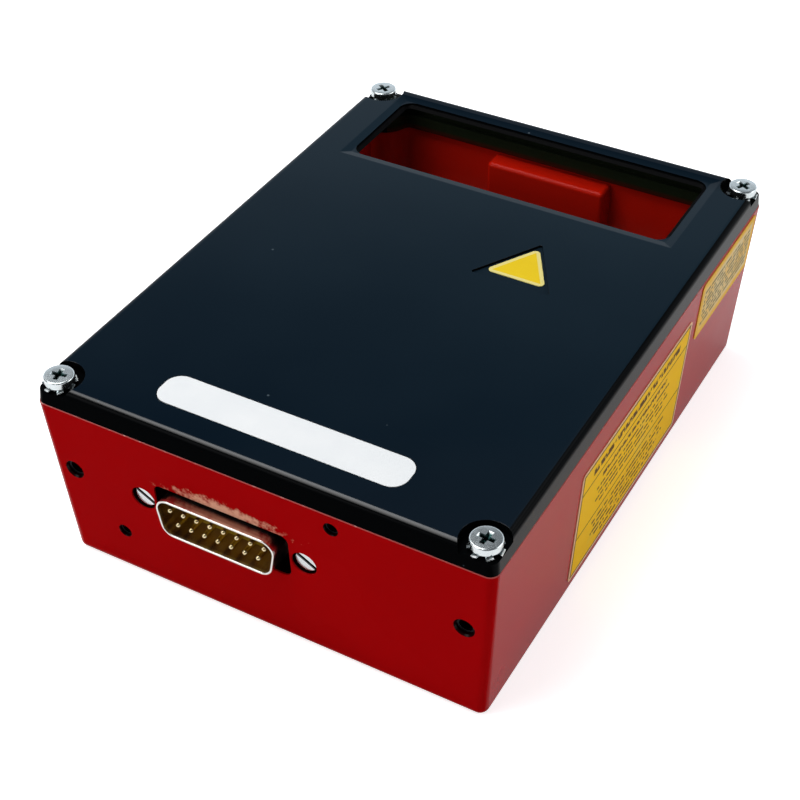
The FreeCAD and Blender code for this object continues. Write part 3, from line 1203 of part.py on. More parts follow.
def laser_clamp():
    """The cast strap over the barrel, with a lug on each side."""
    low = OPTICAL_HEIGHT + CLAMP_GAP
    x0, x1 = CRADLE_X, CRADLE_X + CRADLE_LENGTH
    lugs = box(x0, x1, BEAM_Y - CRADLE_HALF_WIDTH, BEAM_Y + CRADLE_HALF_WIDTH, low, low + CLAMP_LUG)
    hood = rod(BARREL_RADIUS + CLAMP_WALL, barrel_point(x0), barrel_point(x1))
    hood = hood.common(box(x0, x1, BEAM_Y - CRADLE_HALF_WIDTH, BEAM_Y + CRADLE_HALF_WIDTH, low, MAIN_BOARD_Z))
    cuts = [rod(BARREL_RADIUS + SEAT_CLEARANCE, barrel_point(x0 - THROUGH), barrel_point(x1 + THROUGH))]
    for s in (-1, 1):
        y = BEAM_Y + s * CLAMP_SCREW_OFFSET
        cuts.append(hole_z(CLAMP_SCREW_RADIUS + HOLE_CLEARANCE, (x0 + x1) / 2, y, low, low + CLAMP_LUG))
    return lugs.fuse(hood).cut(cuts).removeSplitter()


def laser_clamp_screws():
    seat = OPTICAL_HEIGHT + CLAMP_GAP + CLAMP_LUG
    depth = CLAMP_LUG + CLAMP_GAP + CLAMP_SCREW_DEPTH - THREAD_CLEARANCE
    x = CRADLE_X + CRADLE_LENGTH / 2
    return [pan_screw(CLAMP_SCREW_HEAD_RADIUS, CLAMP_SCREW_HEAD_HEIGHT, CLAMP_SCREW_RADIUS, depth,
                      vec(x, BEAM_Y + s * CLAMP_SCREW_OFFSET, seat), -Z_AXIS) for s in (-1, 1)]


def receiver_holder():
    """The black moulded tube and foot that hold the collecting lens, the filter and the light sensor."""
    front = RECEIVER_FRONT
    foot = box(RECEIVER_BACK, front, BEAM_Y - RECEIVER_FOOT_WIDTH / 2, BEAM_Y + RECEIVER_FOOT_WIDTH / 2,
               FLOOR, FLOOR + RECEIVER_FOOT_HEIGHT)
    web = box(RECEIVER_BACK, front, BEAM_Y - RECEIVER_WALL, BEAM_Y + RECEIVER_WALL, FLOOR, OPTICAL_HEIGHT)
    tube = rod(RECEIVER_RADIUS, barrel_point(RECEIVER_BACK), barrel_point(front))
    body = foot.fuse([web, tube])
    lens_room = RECEIVER_LENS_SETBACK + RECEIVER_LENS_CROWN + RECEIVER_LENS_EDGE
    half = FILTER_SIDE / 2 + SEAT_CLEARANCE
    pocket = RECEIVER_BACK + filter_room()
    start, end = barrel_point(front + THROUGH), barrel_point(RECEIVER_BACK - THROUGH)
    cuts = [rod(RECEIVER_LENS_RADIUS + SEAT_CLEARANCE, start, barrel_point(front - lens_room)),
            rod(RECEIVER_BORE, start, barrel_point(pocket + RECEIVER_WALL)),
            rod(FILTER_APERTURE, start, end),
            box(RECEIVER_BACK - THROUGH, pocket, BEAM_Y - half, BEAM_Y + half,
                OPTICAL_HEIGHT - half, OPTICAL_HEIGHT + half)]
    foot_top = FLOOR + RECEIVER_FOOT_HEIGHT
    for y in RECEIVER_SCREWS:
        cuts.append(hole_z(RECEIVER_SCREW_RADIUS + HOLE_CLEARANCE, RECEIVER_FOOT_X, y, FLOOR, foot_top))
        cuts.append(rod(RECEIVER_SCREW_HEAD_RADIUS + HOLE_CLEARANCE, vec(RECEIVER_FOOT_X, y, foot_top),
                        vec(RECEIVER_FOOT_X, y, OPTICAL_HEIGHT)))
    peg_end, peg_root = RECEIVER_BACK - BOARD_THICKNESS, RECEIVER_BACK + RECEIVER_WALL / 2
    pegs = []
    for y in peg_places():
        pegs.append(rod(PEG_RADIUS, vec(peg_end, y, OPTICAL_HEIGHT), vec(peg_root, y, OPTICAL_HEIGHT)))
    return body.cut(cuts).fuse(pegs).removeSplitter()


def peg_places():
    return [BEAM_Y - PEG_SPACING / 2, BEAM_Y + PEG_SPACING / 2]


def filter_room():
    """Depth of the square pocket for the filter and the sensor behind it."""
    return PHOTODIODE_HEIGHT + FILTER_THICKNESS


def receiver_lens():
    flat = RECEIVER_FRONT - RECEIVER_LENS_SETBACK - RECEIVER_LENS_CROWN - RECEIVER_LENS_EDGE
    return lens(RECEIVER_LENS_RADIUS, RECEIVER_LENS_EDGE, RECEIVER_LENS_CROWN, barrel_point(flat), X_AXIS)


def optical_filter():
    """The red glass that passes only the laser's colour."""
    x = RECEIVER_BACK + PHOTODIODE_HEIGHT
    half = FILTER_SIDE / 2
    return box(x, x + FILTER_THICKNESS, BEAM_Y - half, BEAM_Y + half,
               OPTICAL_HEIGHT - half, OPTICAL_HEIGHT + half)


def photodiode():
    half = PHOTODIODE_SIDE / 2
    return box(RECEIVER_BACK, RECEIVER_BACK + PHOTODIODE_HEIGHT, BEAM_Y - half, BEAM_Y + half,
               OPTICAL_HEIGHT - half, OPTICAL_HEIGHT + half)


def receiver_board():
    """The upright board behind the receiver, on two pegs, reaching up to the main board."""
    outer = RECEIVER_BACK - BOARD_THICKNESS
    half = RECEIVER_BOARD_WIDTH / 2
    board = box(outer, RECEIVER_BACK, BEAM_Y - half, BEAM_Y + half,
                OPTICAL_HEIGHT - RECEIVER_RADIUS, MAIN_BOARD_Z)
    holes = [rod(PEG_RADIUS + SEAT_CLEARANCE, vec(outer - THROUGH, y, OPTICAL_HEIGHT),
                 vec(RECEIVER_BACK + THROUGH, y, OPTICAL_HEIGHT)) for y in peg_places()]
    return board.cut(holes)


def receiver_screws():
    seat = FLOOR + RECEIVER_FOOT_HEIGHT
    depth = seat - SCREW_FLOOR_CAP - THREAD_CLEARANCE
    return [pan_screw(RECEIVER_SCREW_HEAD_RADIUS, RECEIVER_SCREW_HEAD_HEIGHT, RECEIVER_SCREW_RADIUS, depth,
                      vec(RECEIVER_FOOT_X, y, seat), -Z_AXIS) for y in RECEIVER_SCREWS]


PIECES = [housing, cover, cover_seal, cover_screws, cover_lock_washers, window_glass, window_bead,
          name_plate, triangle_label, large_side_label, small_side_label, connector_shell,
          connector_insulator, connector_pins, connector_screws, connector_nuts, connector_board,
          board_header, main_board, main_board_screws, circuit_chips, capacitors, crystal,
          deflection_mirror, mirror_pads, motor_plate, motor_screws, bearing_bush, thrust_disc,
          stator_core, stator_coils, motor_shaft, rotor_cup, rotor_magnet, polygon_mirror, mirror_spring,
          retaining_clip, motor_ribbon, laser_barrel, collimating_lens, laser_diode, laser_board,
          laser_clamp, laser_clamp_screws, receiver_holder, receiver_lens, optical_filter, photodiode,
          receiver_board, receiver_screws]

os.makedirs("parts", exist_ok=True)
for piece in PIECES:
    made = piece()
    shape = Part.makeCompound(made) if isinstance(made, list) else made
    shape.exportStep(os.path.join("parts", piece.__name__ + ".step"))
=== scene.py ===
import bmesh
import bpy
import math
from mathutils import Matrix, Vector


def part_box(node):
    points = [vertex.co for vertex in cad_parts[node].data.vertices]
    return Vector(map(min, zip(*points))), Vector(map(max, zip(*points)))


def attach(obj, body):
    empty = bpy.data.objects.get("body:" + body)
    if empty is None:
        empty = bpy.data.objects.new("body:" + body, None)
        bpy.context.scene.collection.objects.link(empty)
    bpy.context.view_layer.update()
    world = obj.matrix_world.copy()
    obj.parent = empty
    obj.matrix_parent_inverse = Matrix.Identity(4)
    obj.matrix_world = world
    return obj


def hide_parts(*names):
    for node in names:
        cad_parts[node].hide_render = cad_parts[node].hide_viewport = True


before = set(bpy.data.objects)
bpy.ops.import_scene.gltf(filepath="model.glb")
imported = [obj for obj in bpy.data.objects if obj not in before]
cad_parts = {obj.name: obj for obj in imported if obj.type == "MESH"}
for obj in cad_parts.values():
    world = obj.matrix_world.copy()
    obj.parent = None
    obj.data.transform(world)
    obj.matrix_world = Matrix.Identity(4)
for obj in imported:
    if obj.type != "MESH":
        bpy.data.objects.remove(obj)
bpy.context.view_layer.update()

# The tub
# One aluminium die casting with leaning walls, sprayed with glossy red enamel inside and out.
# The thick paint rounds every edge a little, so the cast shape is drawn with small edge rounds.
MM = 0.001
WALL_LEAN = math.radians(3)
# Places across and up the front wall, in millimetres.
PLUG_X, PLUG_Z = -7.6, 21.8
FIXING_HOLES = ((-39.4, 22), (39.4, 22))
HOOD_HOLES = ((-30.3, 10.4), (15.1, 33.2))
# The sockets of a node that mixes two colours.
FACTOR, COLOUR_A, COLOUR_B, MIXED = 0, 6, 7, 2


def linear(colour):
    """A linear colour from an sRGB hex value."""
    parts = [int(colour[i:i + 2], 16) / 255 for i in (1, 3, 5)]
    return [c / 12.92 if c <= 0.04045 else ((c + 0.055) / 1.055) ** 2.4 for c in parts] + [1.0]


def every(mm):
    """The texture scale of marks that lie this many millimetres apart."""
    return 1 / (mm * MM)


def add(tree, kind, inputs=None, to=None, output=0, **settings):
    """Adds a node with its settings, its input values or links, and a link from it to a socket."""
    node = tree.nodes.new(kind)
    for name, value in settings.items():
        setattr(node, name, value)
    for name, value in (inputs or {}).items():
        if isinstance(value, bpy.types.NodeSocket):
            tree.links.new(value, node.inputs[name])
        else:
            node.inputs[name].default_value = value
    if to:
        tree.links.new(node.outputs[output], to)
    return node


def new_finish(name, constants):
    """A material, its tree, its shader with constant sockets set, and the piece's own coordinates."""
    finish = bpy.data.materials.new(name)
    finish.use_nodes = True
    tree = finish.node_tree
    tree.nodes.clear()
    shader = add(tree, "ShaderNodeBsdfPrincipled", constants)
    add(tree, "ShaderNodeOutputMaterial", {"Surface": shader.outputs["BSDF"]})
    place = add(tree, "ShaderNodeTexCoord").outputs["Object"]
    return finish, tree, shader, place


def surface(tree, shader, share, hues, wear, rough, relief=None):
    """Ends a finish: two colours mixed by a share, a roughness that follows the wear, and a fine relief,
    which is given by its height socket, its strength and its rise in millimetres."""
    first, second = [linear(hue) if isinstance(hue, str) else hue for hue in hues]
    add(tree, "ShaderNodeMix", {FACTOR: share, COLOUR_A: first, COLOUR_B: second},
        to=shader.inputs["Base Color"], output=MIXED, data_type="RGBA")
    add(tree, "ShaderNodeMapRange", {"Value": wear, "To Min": rough[0], "To Max": rough[1]},
        to=shader.inputs["Roughness"])
    if relief:
        height, strength, rise = relief
        add(tree, "ShaderNodeBump", {"Height": height, "Strength": strength, "Distance": rise * MM},
            to=shader.inputs["Normal"])


def edge_gloss(tree, most, least, glance):
    """Paint gloss: most on edges turned to the eye, least on slanting faces, more again at a glance."""
    start, full, gain = glance
    turned = add(tree, "ShaderNodeLayerWeight", {"Blend": 0.5}).outputs["Facing"]
    edges = add(tree, "ShaderNodeMapRange", {
        "Value": turned, "From Min": 0.2, "From Max": 0.34, "To Min": most, "To Max": least})
    flats = add(tree, "ShaderNodeMapRange", {
        "Value": turned, "From Min": start, "From Max": full, "To Max": gain})
    both = add(tree, "ShaderNodeMath", {0: edges.outputs[0], 1: flats.outputs[0]}, operation="ADD")
    return both.outputs[0]


def inside(tree, place, centre, half, lean=0.0):
    """One inside a box, which its centre and half sizes give in millimetres, and nought outside it."""
    share = add(tree, "ShaderNodeMapping", {
        "Vector": place, "Location": [c * MM for c in centre], "Rotation": (lean, 0, 0),
        "Scale": [h * MM for h in half]}, vector_type="TEXTURE")
    apart = add(tree, "ShaderNodeVectorMath", {0: share.outputs[0]}, operation="ABSOLUTE")
    whole = add(tree, "ShaderNodeVectorMath", {0: apart.outputs[0]}, operation="FLOOR")
    beyond = add(tree, "ShaderNodeVectorMath", {0: whole.outputs[0]}, operation="LENGTH")
    within = add(tree, "ShaderNodeMath", {0: beyond.outputs["Value"], 1: 0.5}, operation="LESS_THAN")
    return within.outputs[0]


def eased(node, round_mm, finish):
    """A copy of a cast, drawn or turned node with small rounds on its sharp edges, in its place."""
    weld, wide, sharp = 0.002 * MM, 40 * MM ** 2, math.radians(28)
    shape = bmesh.new()
    shape.from_mesh(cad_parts[node].data)
    bmesh.ops.remove_doubles(shape, verts=shape.verts, dist=weld)
    bmesh.ops.dissolve_degenerate(shape, edges=shape.edges, dist=weld)
    bmesh.ops.dissolve_limit(shape, angle_limit=math.radians(0.4), verts=shape.verts, edges=shape.edges)
    # A wide flat stays flat up to its shallow edges; sharper edges get a round.
    for face in shape.faces:
        face.smooth = True
        for edge in face.edges:
            if face.calc_area() > wide and edge.calc_face_angle(0) < sharp:
                edge.smooth = False
    mesh = bpy.data.meshes.new(node + "_eased")
    shape.to_mesh(mesh)
    shape.free()
    if mesh.has_custom_normals:
        mesh.attributes.remove(mesh.attributes["custom_normal"])
    mesh.materials.clear()
    mesh.materials.append(finish)
    piece = bpy.data.objects.new(node + "_eased", mesh)
    bpy.context.scene.collection.objects.link(piece)
    rounds = piece.modifiers.new("edge rounds", "BEVEL")
    rounds.width = round_mm * MM
    rounds.segments = 2
    rounds.limit_method = "ANGLE"
    rounds.angle_limit = sharp
    rounds.harden_normals = True
    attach(piece, "reader")
    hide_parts(node)
    return mesh


# Sprayed enamel: deep red, glossy, with a faint orange peel and slow changes of depth.
enamel, tree, shader, place = new_finish("Red enamel, sprayed on die-cast aluminium", {"IOR": 1.5})
gloss = edge_gloss(tree, most=0.1, least=0.003, glance=(0.55, 0.75, 0.1))
tree.links.new(gloss, shader.inputs["Specular IOR Level"])
depth = add(tree, "ShaderNodeTexNoise", {"Vector": place, "Scale": every(22), "Detail": 3})
faded = add(tree, "ShaderNodeMix", {
    FACTOR: depth.outputs[0], COLOUR_A: linear("#AA0206"), COLOUR_B: linear("#B40408")}, data_type="RGBA")
# Painted light: inside the tub the red is coloured lighter and warmer, to stand in for more light falling in
# there.
painted_light_inside = inside(tree, place, centre=(0, 0, 21.5), half=(41.3, 57.5, 19))
red = add(tree, "ShaderNodeMix", {
    FACTOR: painted_light_inside, COLOUR_A: faded.outputs[MIXED], COLOUR_B: linear("#D01A06")}, data_type="RGBA")
# Painted reflection above the plug: ragged pale pink flecks stand for light thrown onto the paint by the
# bright shell.
reflection_centre, reflection_reach = (-6.4, -59.7, 27.3), (15, 3, 2.2)
spot = add(tree, "ShaderNodeMapping", {"Vector": place, "Location": [-c * MM for c in reflection_centre]})
reach = add(tree, "ShaderNodeVectorMath", {
    0: spot.outputs[0], 1: [every(r) for r in reflection_reach]}, operation="MULTIPLY")
near = add(tree, "ShaderNodeVectorMath", {0: reach.outputs[0]}, operation="LENGTH")
flecks = add(tree, "ShaderNodeTexNoise", {
    "Vector": place, "Scale": every(1.5), "Detail": 4, "Roughness": 0.7})
edge = add(tree, "ShaderNodeMath", {
    0: flecks.outputs[0], 1: 2.0, 2: near.outputs["Value"]}, operation="MULTIPLY_ADD")
# The share of the painted reflection, ragged at its edge.
worn = add(tree, "ShaderNodeMapRange", {"Value": edge.outputs[0], "From Min": 1.8, "From Max": 1.28})
pale_patches = add(tree, "ShaderNodeMix", {
    FACTOR: worn.outputs[0], COLOUR_A: red.outputs[MIXED], COLOUR_B: linear("#F2B294")}, data_type="RGBA")
# Along the upper rim a continuous pale line is painted as a highlight, with small nicks where bright metal
# shows through the paint.
rim_foot, rim_top = 36.25 * MM, 36.45 * MM
at = add(tree, "ShaderNodeSeparateXYZ", {0: place})
rim = add(tree, "ShaderNodeMapRange", {"Value": at.outputs["Z"], "From Min": rim_foot, "From Max": rim_top})
dents = add(tree, "ShaderNodeTexNoise", {
    "Vector": place, "Scale": every(1.1), "Detail": 3, "Roughness": 0.6})
line_and_nicks = add(tree, "ShaderNodeMapRange", {
    "Value": dents.outputs[0], "From Min": 0.6, "From Max": 0.7, "To Min": 0.3})
# The painted highlight line and the nicks together.
bare = add(tree, "ShaderNodeMath", {0: rim.outputs[0], 1: line_and_nicks.outputs[0]}, operation="MULTIPLY")
rimmed = add(tree, "ShaderNodeMix", {
    FACTOR: bare.outputs[0], COLOUR_A: pale_patches.outputs[MIXED], COLOUR_B: linear("#D8A098")}, data_type="RGBA")
# Painted shade: in the holes and the plug's opening of the front wall the red is coloured nearly black, for
# the shade inside them.
front_wall = -50 * MM
recess_shade = inside(tree, place, centre=(PLUG_X, -54.97, PLUG_Z), half=(22, 4.2, 8), lean=WALL_LEAN)
wall = add(tree, "ShaderNodeMapping", {"Vector": place, "Scale": (1, 0, 1)})
ahead = add(tree, "ShaderNodeMath", {0: at.outputs["Y"], 1: front_wall}, operation="LESS_THAN")
for holes, radius in ((FIXING_HOLES, 1.95), (HOOD_HOLES, 1.4)):
    for x, z in holes:
        away = add(tree, "ShaderNodeVectorMath", {
            0: wall.outputs[0], 1: (x * MM, 0, z * MM)}, operation="DISTANCE")
        bore = add(tree, "ShaderNodeMath", {0: away.outputs["Value"], 1: radius * MM}, operation="LESS_THAN")
        recess_shade = add(tree, "ShaderNodeMath", {
            0: bore.outputs[0], 1: ahead.outputs[0], 2: recess_shade}, operation="MULTIPLY_ADD").outputs[0]
peel = add(tree, "ShaderNodeTexNoise", {"Vector": place, "Scale": every(1.3), "Detail": 1})
surface(tree, shader, recess_shade, (rimmed.outputs[MIXED], "#140203"), depth.outputs[0], rough=(0.2, 0.32),
        relief=(peel.outputs[0], 0.12, 0.05))
eased("housing", round_mm=0.15, finish=enamel)

# The tapped holes
# Ten blind threads are cut through the paint into bosses of the tub: larger ones in the base, the front and
# the rear, and two small ones beside the plug. A ridge of bare cut metal winds down each hole.
METAL = {"Metallic": 1.0}
UP, REARWARD, FORWARD = (0, 0, 1), (0, 1, 0), (0, -1, 0)
M4 = {"radius": 1.75, "pitch": 0.7, "ridge": 0.4}
M3 = {"radius": 1.32, "pitch": 0.5, "ridge": 0.29}


def mottled(name, constants, hues, patch, rough, relief=0.0):
    """A finish whose colour, roughness and relief wander over patches of a size in millimetres."""
    finish, tree, shader, place = new_finish(name, constants)
    cloud = add(tree, "ShaderNodeTexNoise", {"Vector": place, "Scale": every(patch), "Detail": 3})
    spread = add(tree, "ShaderNodeMapRange", {"Value": cloud.outputs[0], "From Min": 0.3, "From Max": 0.7})
    surface(tree, shader, spread.outputs[0], hues, spread.outputs[0], rough, (cloud.outputs[0], 0.3, relief))
    return finish


def new_tree(name, *sizes):
    """A geometry tree for like pieces, with their places and their sizes as its named inputs."""
    tree = bpy.data.node_groups.new(name, "GeometryNodeTree")
    tree.interface.new_socket("places", in_out="INPUT", socket_type="NodeSocketGeometry")
    for size in sizes:
        tree.interface.new_socket(size, in_out="INPUT", socket_type="NodeSocketFloat")
    tree.interface.new_socket("pieces", in_out="OUTPUT", socket_type="NodeSocketGeometry")
    return tree, add(tree, "NodeGroupInput").outputs


def set_out(tree, given, shape, finish):
    """Ends a tree: the shape stands at each place, along the place's axis and turned about it."""
    axis = add(tree, "GeometryNodeInputNamedAttribute", {"Name": "axis"}, data_type="FLOAT_VECTOR")
    turn = add(tree, "GeometryNodeInputNamedAttribute", {"Name": "turn"}, data_type="FLOAT")
    lean = add(tree, "FunctionNodeAlignRotationToVector", {"Vector": axis.outputs[0]}, axis="Z")
    about = add(tree, "FunctionNodeAxisAngleToRotation", {"Axis": (0, 0, 1), "Angle": turn.outputs[0]})
    stand = add(tree, "FunctionNodeRotateRotation", {
        0: lean.outputs[0], 1: about.outputs[0]}, rotation_space="LOCAL")
    row = add(tree, "GeometryNodeInstanceOnPoints", {
        "Points": given["places"], "Instance": shape, "Rotation": stand.outputs[0]})
    whole = add(tree, "GeometryNodeRealizeInstances", {0: row.outputs[0]})
    coated = add(tree, "GeometryNodeSetMaterial", {"Geometry": whole.outputs[0], "Material": finish})
    add(tree, "NodeGroupOutput", {0: coated.outputs[0]})


def grown(name, tree, sizes, places, slot, *nodes):
    """A piece that a tree grows at its places, made one plain mesh on the reader, in place of CAD nodes."""
    seats = bpy.data.meshes.new(name + "_places")
    seats.from_pydata([Vector(place) * MM for place, axis, turn in places], [], [])
    seats.attributes.new("axis", "FLOAT_VECTOR", "POINT")
    seats.attributes.new("turn", "FLOAT", "POINT")
    for k, (place, axis, turn) in enumerate(places):
        seats.attributes["axis"].data[k].vector = axis
        seats.attributes["turn"].data[k].value = math.radians(turn)
    piece = bpy.data.objects.new(name, seats)
    grower = piece.modifiers.new("grower", "NODES")
    grower.node_group = tree
    for socket in tree.interface.items_tree:
        if socket.name in sizes:
            grower[socket.identifier] = sizes[socket.name] * MM
    bpy.context.scene.collection.objects.link(piece)
    mesh = bpy.data.meshes.new_from_object(piece.evaluated_get(bpy.context.evaluated_depsgraph_get()))
    piece.modifiers.remove(grower)
    piece.data = mesh
    mesh.shade_smooth()
    mesh.set_sharp_from_angle(angle=math.radians(38))
    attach(piece, "reader")
    if nodes:
        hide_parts(*nodes)


# Cut aluminium, half dull, coloured nearly black: painted shade for the dark down in the holes.
shaded_cut_metal = mottled(
    "Aluminium, tapped and left bare", METAL, ("#1C1C1E", "#303134"), patch=0.8, rough=(0.35, 0.55))
tree, given = new_tree("tapped thread", "radius", "pitch", "depth", "ridge")
turns = add(tree, "ShaderNodeMath", {0: given["depth"], 1: given["pitch"]}, operation="DIVIDE")
helix = add(tree, "GeometryNodeCurveSpiral", {
    "Resolution": 20, "Rotations": turns.outputs[0], "Start Radius": given["radius"],
    "End Radius": given["radius"], "Height": given["depth"]})
section = add(tree, "GeometryNodeCurvePrimitiveCircle", {"Resolution": 3, "Radius": given["ridge"]})
ridge = add(tree, "GeometryNodeCurveToMesh", {
    "Curve": helix.outputs[0], "Profile Curve": section.outputs[0], "Fill Caps": True})
set_out(tree, given, ridge.outputs[0], shaded_cut_metal)
base_holes = [((x, y, 1.2), UP, 0) for x in (-25, 25) for y in (-34, 28)]
front_holes = [((x, -58.9, z), REARWARD, 0) for x, z in FIXING_HOLES]
rear_holes = [((x, 59.0, 28.3), FORWARD, 0) for x in (-8, 8)]
hood_holes = [((x, y, z), REARWARD, 0) for (x, z), y in zip(HOOD_HOLES, (-58.4, -59.6))]
grown("fixing_threads", tree, {**M4, "depth": 5.4}, base_holes + front_holes, "aluminium")
grown("rear_threads", tree, {**M4, "depth": 4.2}, rear_holes, "aluminium")
grown("hood_threads", tree, {**M3, "depth": 3.6}, hood_holes, "aluminium")

# The motor
# A flat brushless motor stands on three pads: a punched steel plate, a sintered bush, a stack of core sheets
# wound with copper wire, and a film ribbon that carries its current to the main board.


def dress(finish, *nodes):
    """Gives CAD nodes a finish in their own material slots."""
    for node in nodes:
        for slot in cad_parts[node].material_slots:
            slot.material = finish


def striped(name, constants, hues, pitch, run, rough, relief):
    """A finish with fine even bands, this many millimetres apart, along one of the axes."""
    finish, tree, shader, place = new_finish(name, constants)
    # A band texture of scale 1 repeats every pi / 10.
    bands = add(tree, "ShaderNodeTexWave", {
        "Vector": place, "Scale": every(pitch) * math.pi / 10, "Distortion": 0.4, "Detail": 1},
        bands_direction=run)
    # The ridges shine more than the grooves between them.
    ridges = bands.outputs[1]
    surface(tree, shader, ridges, hues, ridges, (rough[1], rough[0]), (ridges, 0.6, relief))
    return finish


# Cold-rolled sheet: grey and half bright, with a faint cloudiness from the rolls.
sheet_steel = mottled(
    "Steel sheet, cold rolled and punched", METAL, ("#8A8D90", "#A6A9AC"), patch=3.0, rough=(0.28, 0.42))
dress(sheet_steel, "motor_plate")
# Zinc over steel: pale, slightly blue from the passivation, with a fine crystalline unevenness.
zinc = mottled(
    "Steel, zinc plated and passivated", METAL, ("#D4DCDE", "#E4EAEA"),
    patch=1.5, rough=(0.2, 0.3), relief=0.004)
dress(zinc, "motor_screws")
# Pressed powder: brown-gold and dull, its pores dark with oil. Pores are drawn about twice their size.
bronze = mottled(
    "Bronze, sintered and oil filled", METAL, ("#6E5230", "#9A7848"),
    patch=0.25, rough=(0.4, 0.6), relief=0.02)
dress(bronze, "bearing_bush")
# Ground steel: bright, with the fine lines of the grinding wheel, drawn coarser than they are.
ground_steel = striped(
    "Steel, hardened and ground", METAL, ("#B9BCBE", "#CBCDCF"),
    pitch=0.3, run="Z", rough=(0.1, 0.18), relief=0.003)
dress(ground_steel, "thrust_disc")
# A stack of punched sheets: dark grey, with a line at each sheet's edge.
core_sheets = striped(
    "Core steel, punched sheets in a varnished stack", {"Metallic": 0.8}, ("#3A3C40", "#585B60"),
    pitch=0.5, run="Z", rough=(0.4, 0.6), relief=0.05)
dress(core_sheets, "stator_core")
# Varnished wire: red-brown and glossy, each turn a small round rib, drawn as thick wire.
winding = striped(
    "Copper wire, enamelled and wound", {"Metallic": 0.9}, ("#6A2A12", "#B8602E"),
    pitch=0.35, run="Z", rough=(0.2, 0.35), relief=0.08)
dress(winding, "stator_coils")
# Film over copper: amber, darker along the copper tracks under it.
ribbon_film = striped(
    "Polyimide film, laminated over copper tracks", {"Coat Weight": 0.3}, ("#A85A14", "#D08A2C"),
    pitch=1.0, run="X", rough=(0.25, 0.35), relief=0.01)
dress(ribbon_film, "motor_ribbon")

# The mirror wheel
# The part that spins: a ground shaft, a drawn steel cup with a ring magnet inside, and an eight-sided mirror
# held on the cup by a spring and a clip.
dress(ground_steel, "motor_shaft")
dress(sheet_steel, "rotor_cup")
# Pressed magnet powder: nearly black and matt, with a fine grain.
magnet = mottled(
    "Ferrite, pressed ring magnet", {}, ("#1B1B1D", "#2C2C2F"), patch=0.3, rough=(0.55, 0.7), relief=0.02)
dress(magnet, "rotor_magnet")
# Diamond-turned flats: an almost perfect mirror that is very slightly clouded.
mirror = mottled(
    "Aluminium, diamond turned to a mirror", METAL, ("#E2E4E6", "#EFF0F1"), patch=4.0, rough=(0.02, 0.05))
dress(mirror, "polygon_mirror")
# Tempered strip: bright with a straw tint from the heat.
spring_steel = mottled(
    "Spring steel, stamped and tempered", METAL, ("#9A9488", "#B4B0A6"), patch=1.5, rough=(0.22, 0.34))
dress(spring_steel, "mirror_spring", "retaining_clip")

# The deflection mirror
# A long strip of float glass, silvered on its face, lies at 45 degrees on the tub's sloping ribs.
# It is glued there on two rubber pads.

# Silver on glass: a clear, bright mirror, clouded a very little.
silvering = mottled(
    "Float glass, silvered on its face", METAL, ("#DFE3E6", "#ECEEF0"), patch=6.0, rough=(0.02, 0.06))
dress(silvering, "deflection_mirror")
# Moulded rubber: black, matt, with a fine grain that takes the shine off it.
rubber = mottled(
    "Nitrile rubber, moulded", {}, ("#0F0F10", "#1A1A1B"), patch=0.4, rough=(0.6, 0.8), relief=0.03)
dress(rubber, "mirror_pads")

# The laser
# A turned brass barrel with its lens and diode lies in a cradle of the tub, under a bent clamp, with a small
# board soldered to the diode's legs.

# Turned brass: yellow and bright, with rings from the tool, drawn coarser than they are.
brass = striped(
    "Brass, turned on a lathe", METAL, ("#A9843C", "#C9A45A"),
    pitch=0.4, run="X", rough=(0.2, 0.32), relief=0.01)
dress(brass, "laser_barrel")
# Coated lens glass: clear, with a trace of violet from the coating.
lens_glass = mottled(
    "Optical glass, polished and coated", {"IOR": 1.52, "Alpha": 0.35}, ("#B8B4D2", "#C8C6DC"),
    patch=3.0, rough=(0.02, 0.04))
dress(lens_glass, "collimating_lens")
# Gilded can: warm and bright.
gilded = mottled(
    "Steel can, gilded", METAL, ("#D9B45C", "#E8C878"), patch=1.0, rough=(0.18, 0.28))
dress(gilded, "laser_diode")
# Solder mask over copper: green and half glossy, with paler tracks that stand up a little and tinned pads.
board_green, tree, shader, place = new_finish("Glass-epoxy board, copper tracks under green lacquer", {})
tracks = add(tree, "ShaderNodeTexBrick", {
    "Vector": place, "Scale": every(10), "Color1": (0, 0, 0, 1), "Color2": (0, 0, 0, 1),
    "Mortar": (1, 1, 1, 1), "Mortar Size": 0.03, "Mortar Smooth": 0.2,
    "Brick Width": 0.9, "Row Height": 0.22})
lacquer = add(tree, "ShaderNodeMix", {
    FACTOR: tracks.outputs["Fac"], COLOUR_A: linear("#12452A"), COLOUR_B: linear("#2C7346")},
    data_type="RGBA")
lands = add(tree, "ShaderNodeTexVoronoi", {"Vector": place, "Scale": every(2.54), "Randomness": 0.5})
land = add(tree, "ShaderNodeMapRange", {
    "Value": lands.outputs["Distance"], "From Min": 0.2, "From Max": 0.17})
surface(tree, shader, land.outputs[0], (lacquer.outputs[MIXED], "#B9BBB4"), tracks.outputs["Fac"],
        rough=(0.42, 0.3), relief=(tracks.outputs["Fac"], 0.5, 0.04))
dress(board_green, "laser_board")
# Bent strip: pale grey, brushed along its length.
strip_aluminium = striped(
    "Aluminium strip, brushed and bent", METAL, ("#A4A7AA", "#BDC0C2"),
    pitch=0.35, run="Y", rough=(0.26, 0.4), relief=0.01)
dress(strip_aluminium, "laser_clamp")
dress(zinc, "laser_clamp_screws")

# The receiver
# A black moulded holder is screwed to the floor beside the motor, with a lens and a red filter in front of a
# photodiode on its own small board.

# Filled nylon: black, with a fine eroded grain from the mould.
moulding = mottled(
    "Nylon with glass fibre, moulded", {}, ("#121315", "#1E1F22"),
    patch=0.5, rough=(0.45, 0.6), relief=0.04)
dress(moulding, "receiver_holder")
dress(lens_glass, "receiver_lens")
# Filter glass: a deep red, nearly black, with a hard polish.
filter_glass = mottled(
    "Filter glass, red, ground and polished", {"IOR": 1.52, "Alpha": 0.8}, ("#3E0407", "#56070B"),
    patch=3.0, rough=(0.03, 0.06))
dress(filter_glass, "optical_filter")
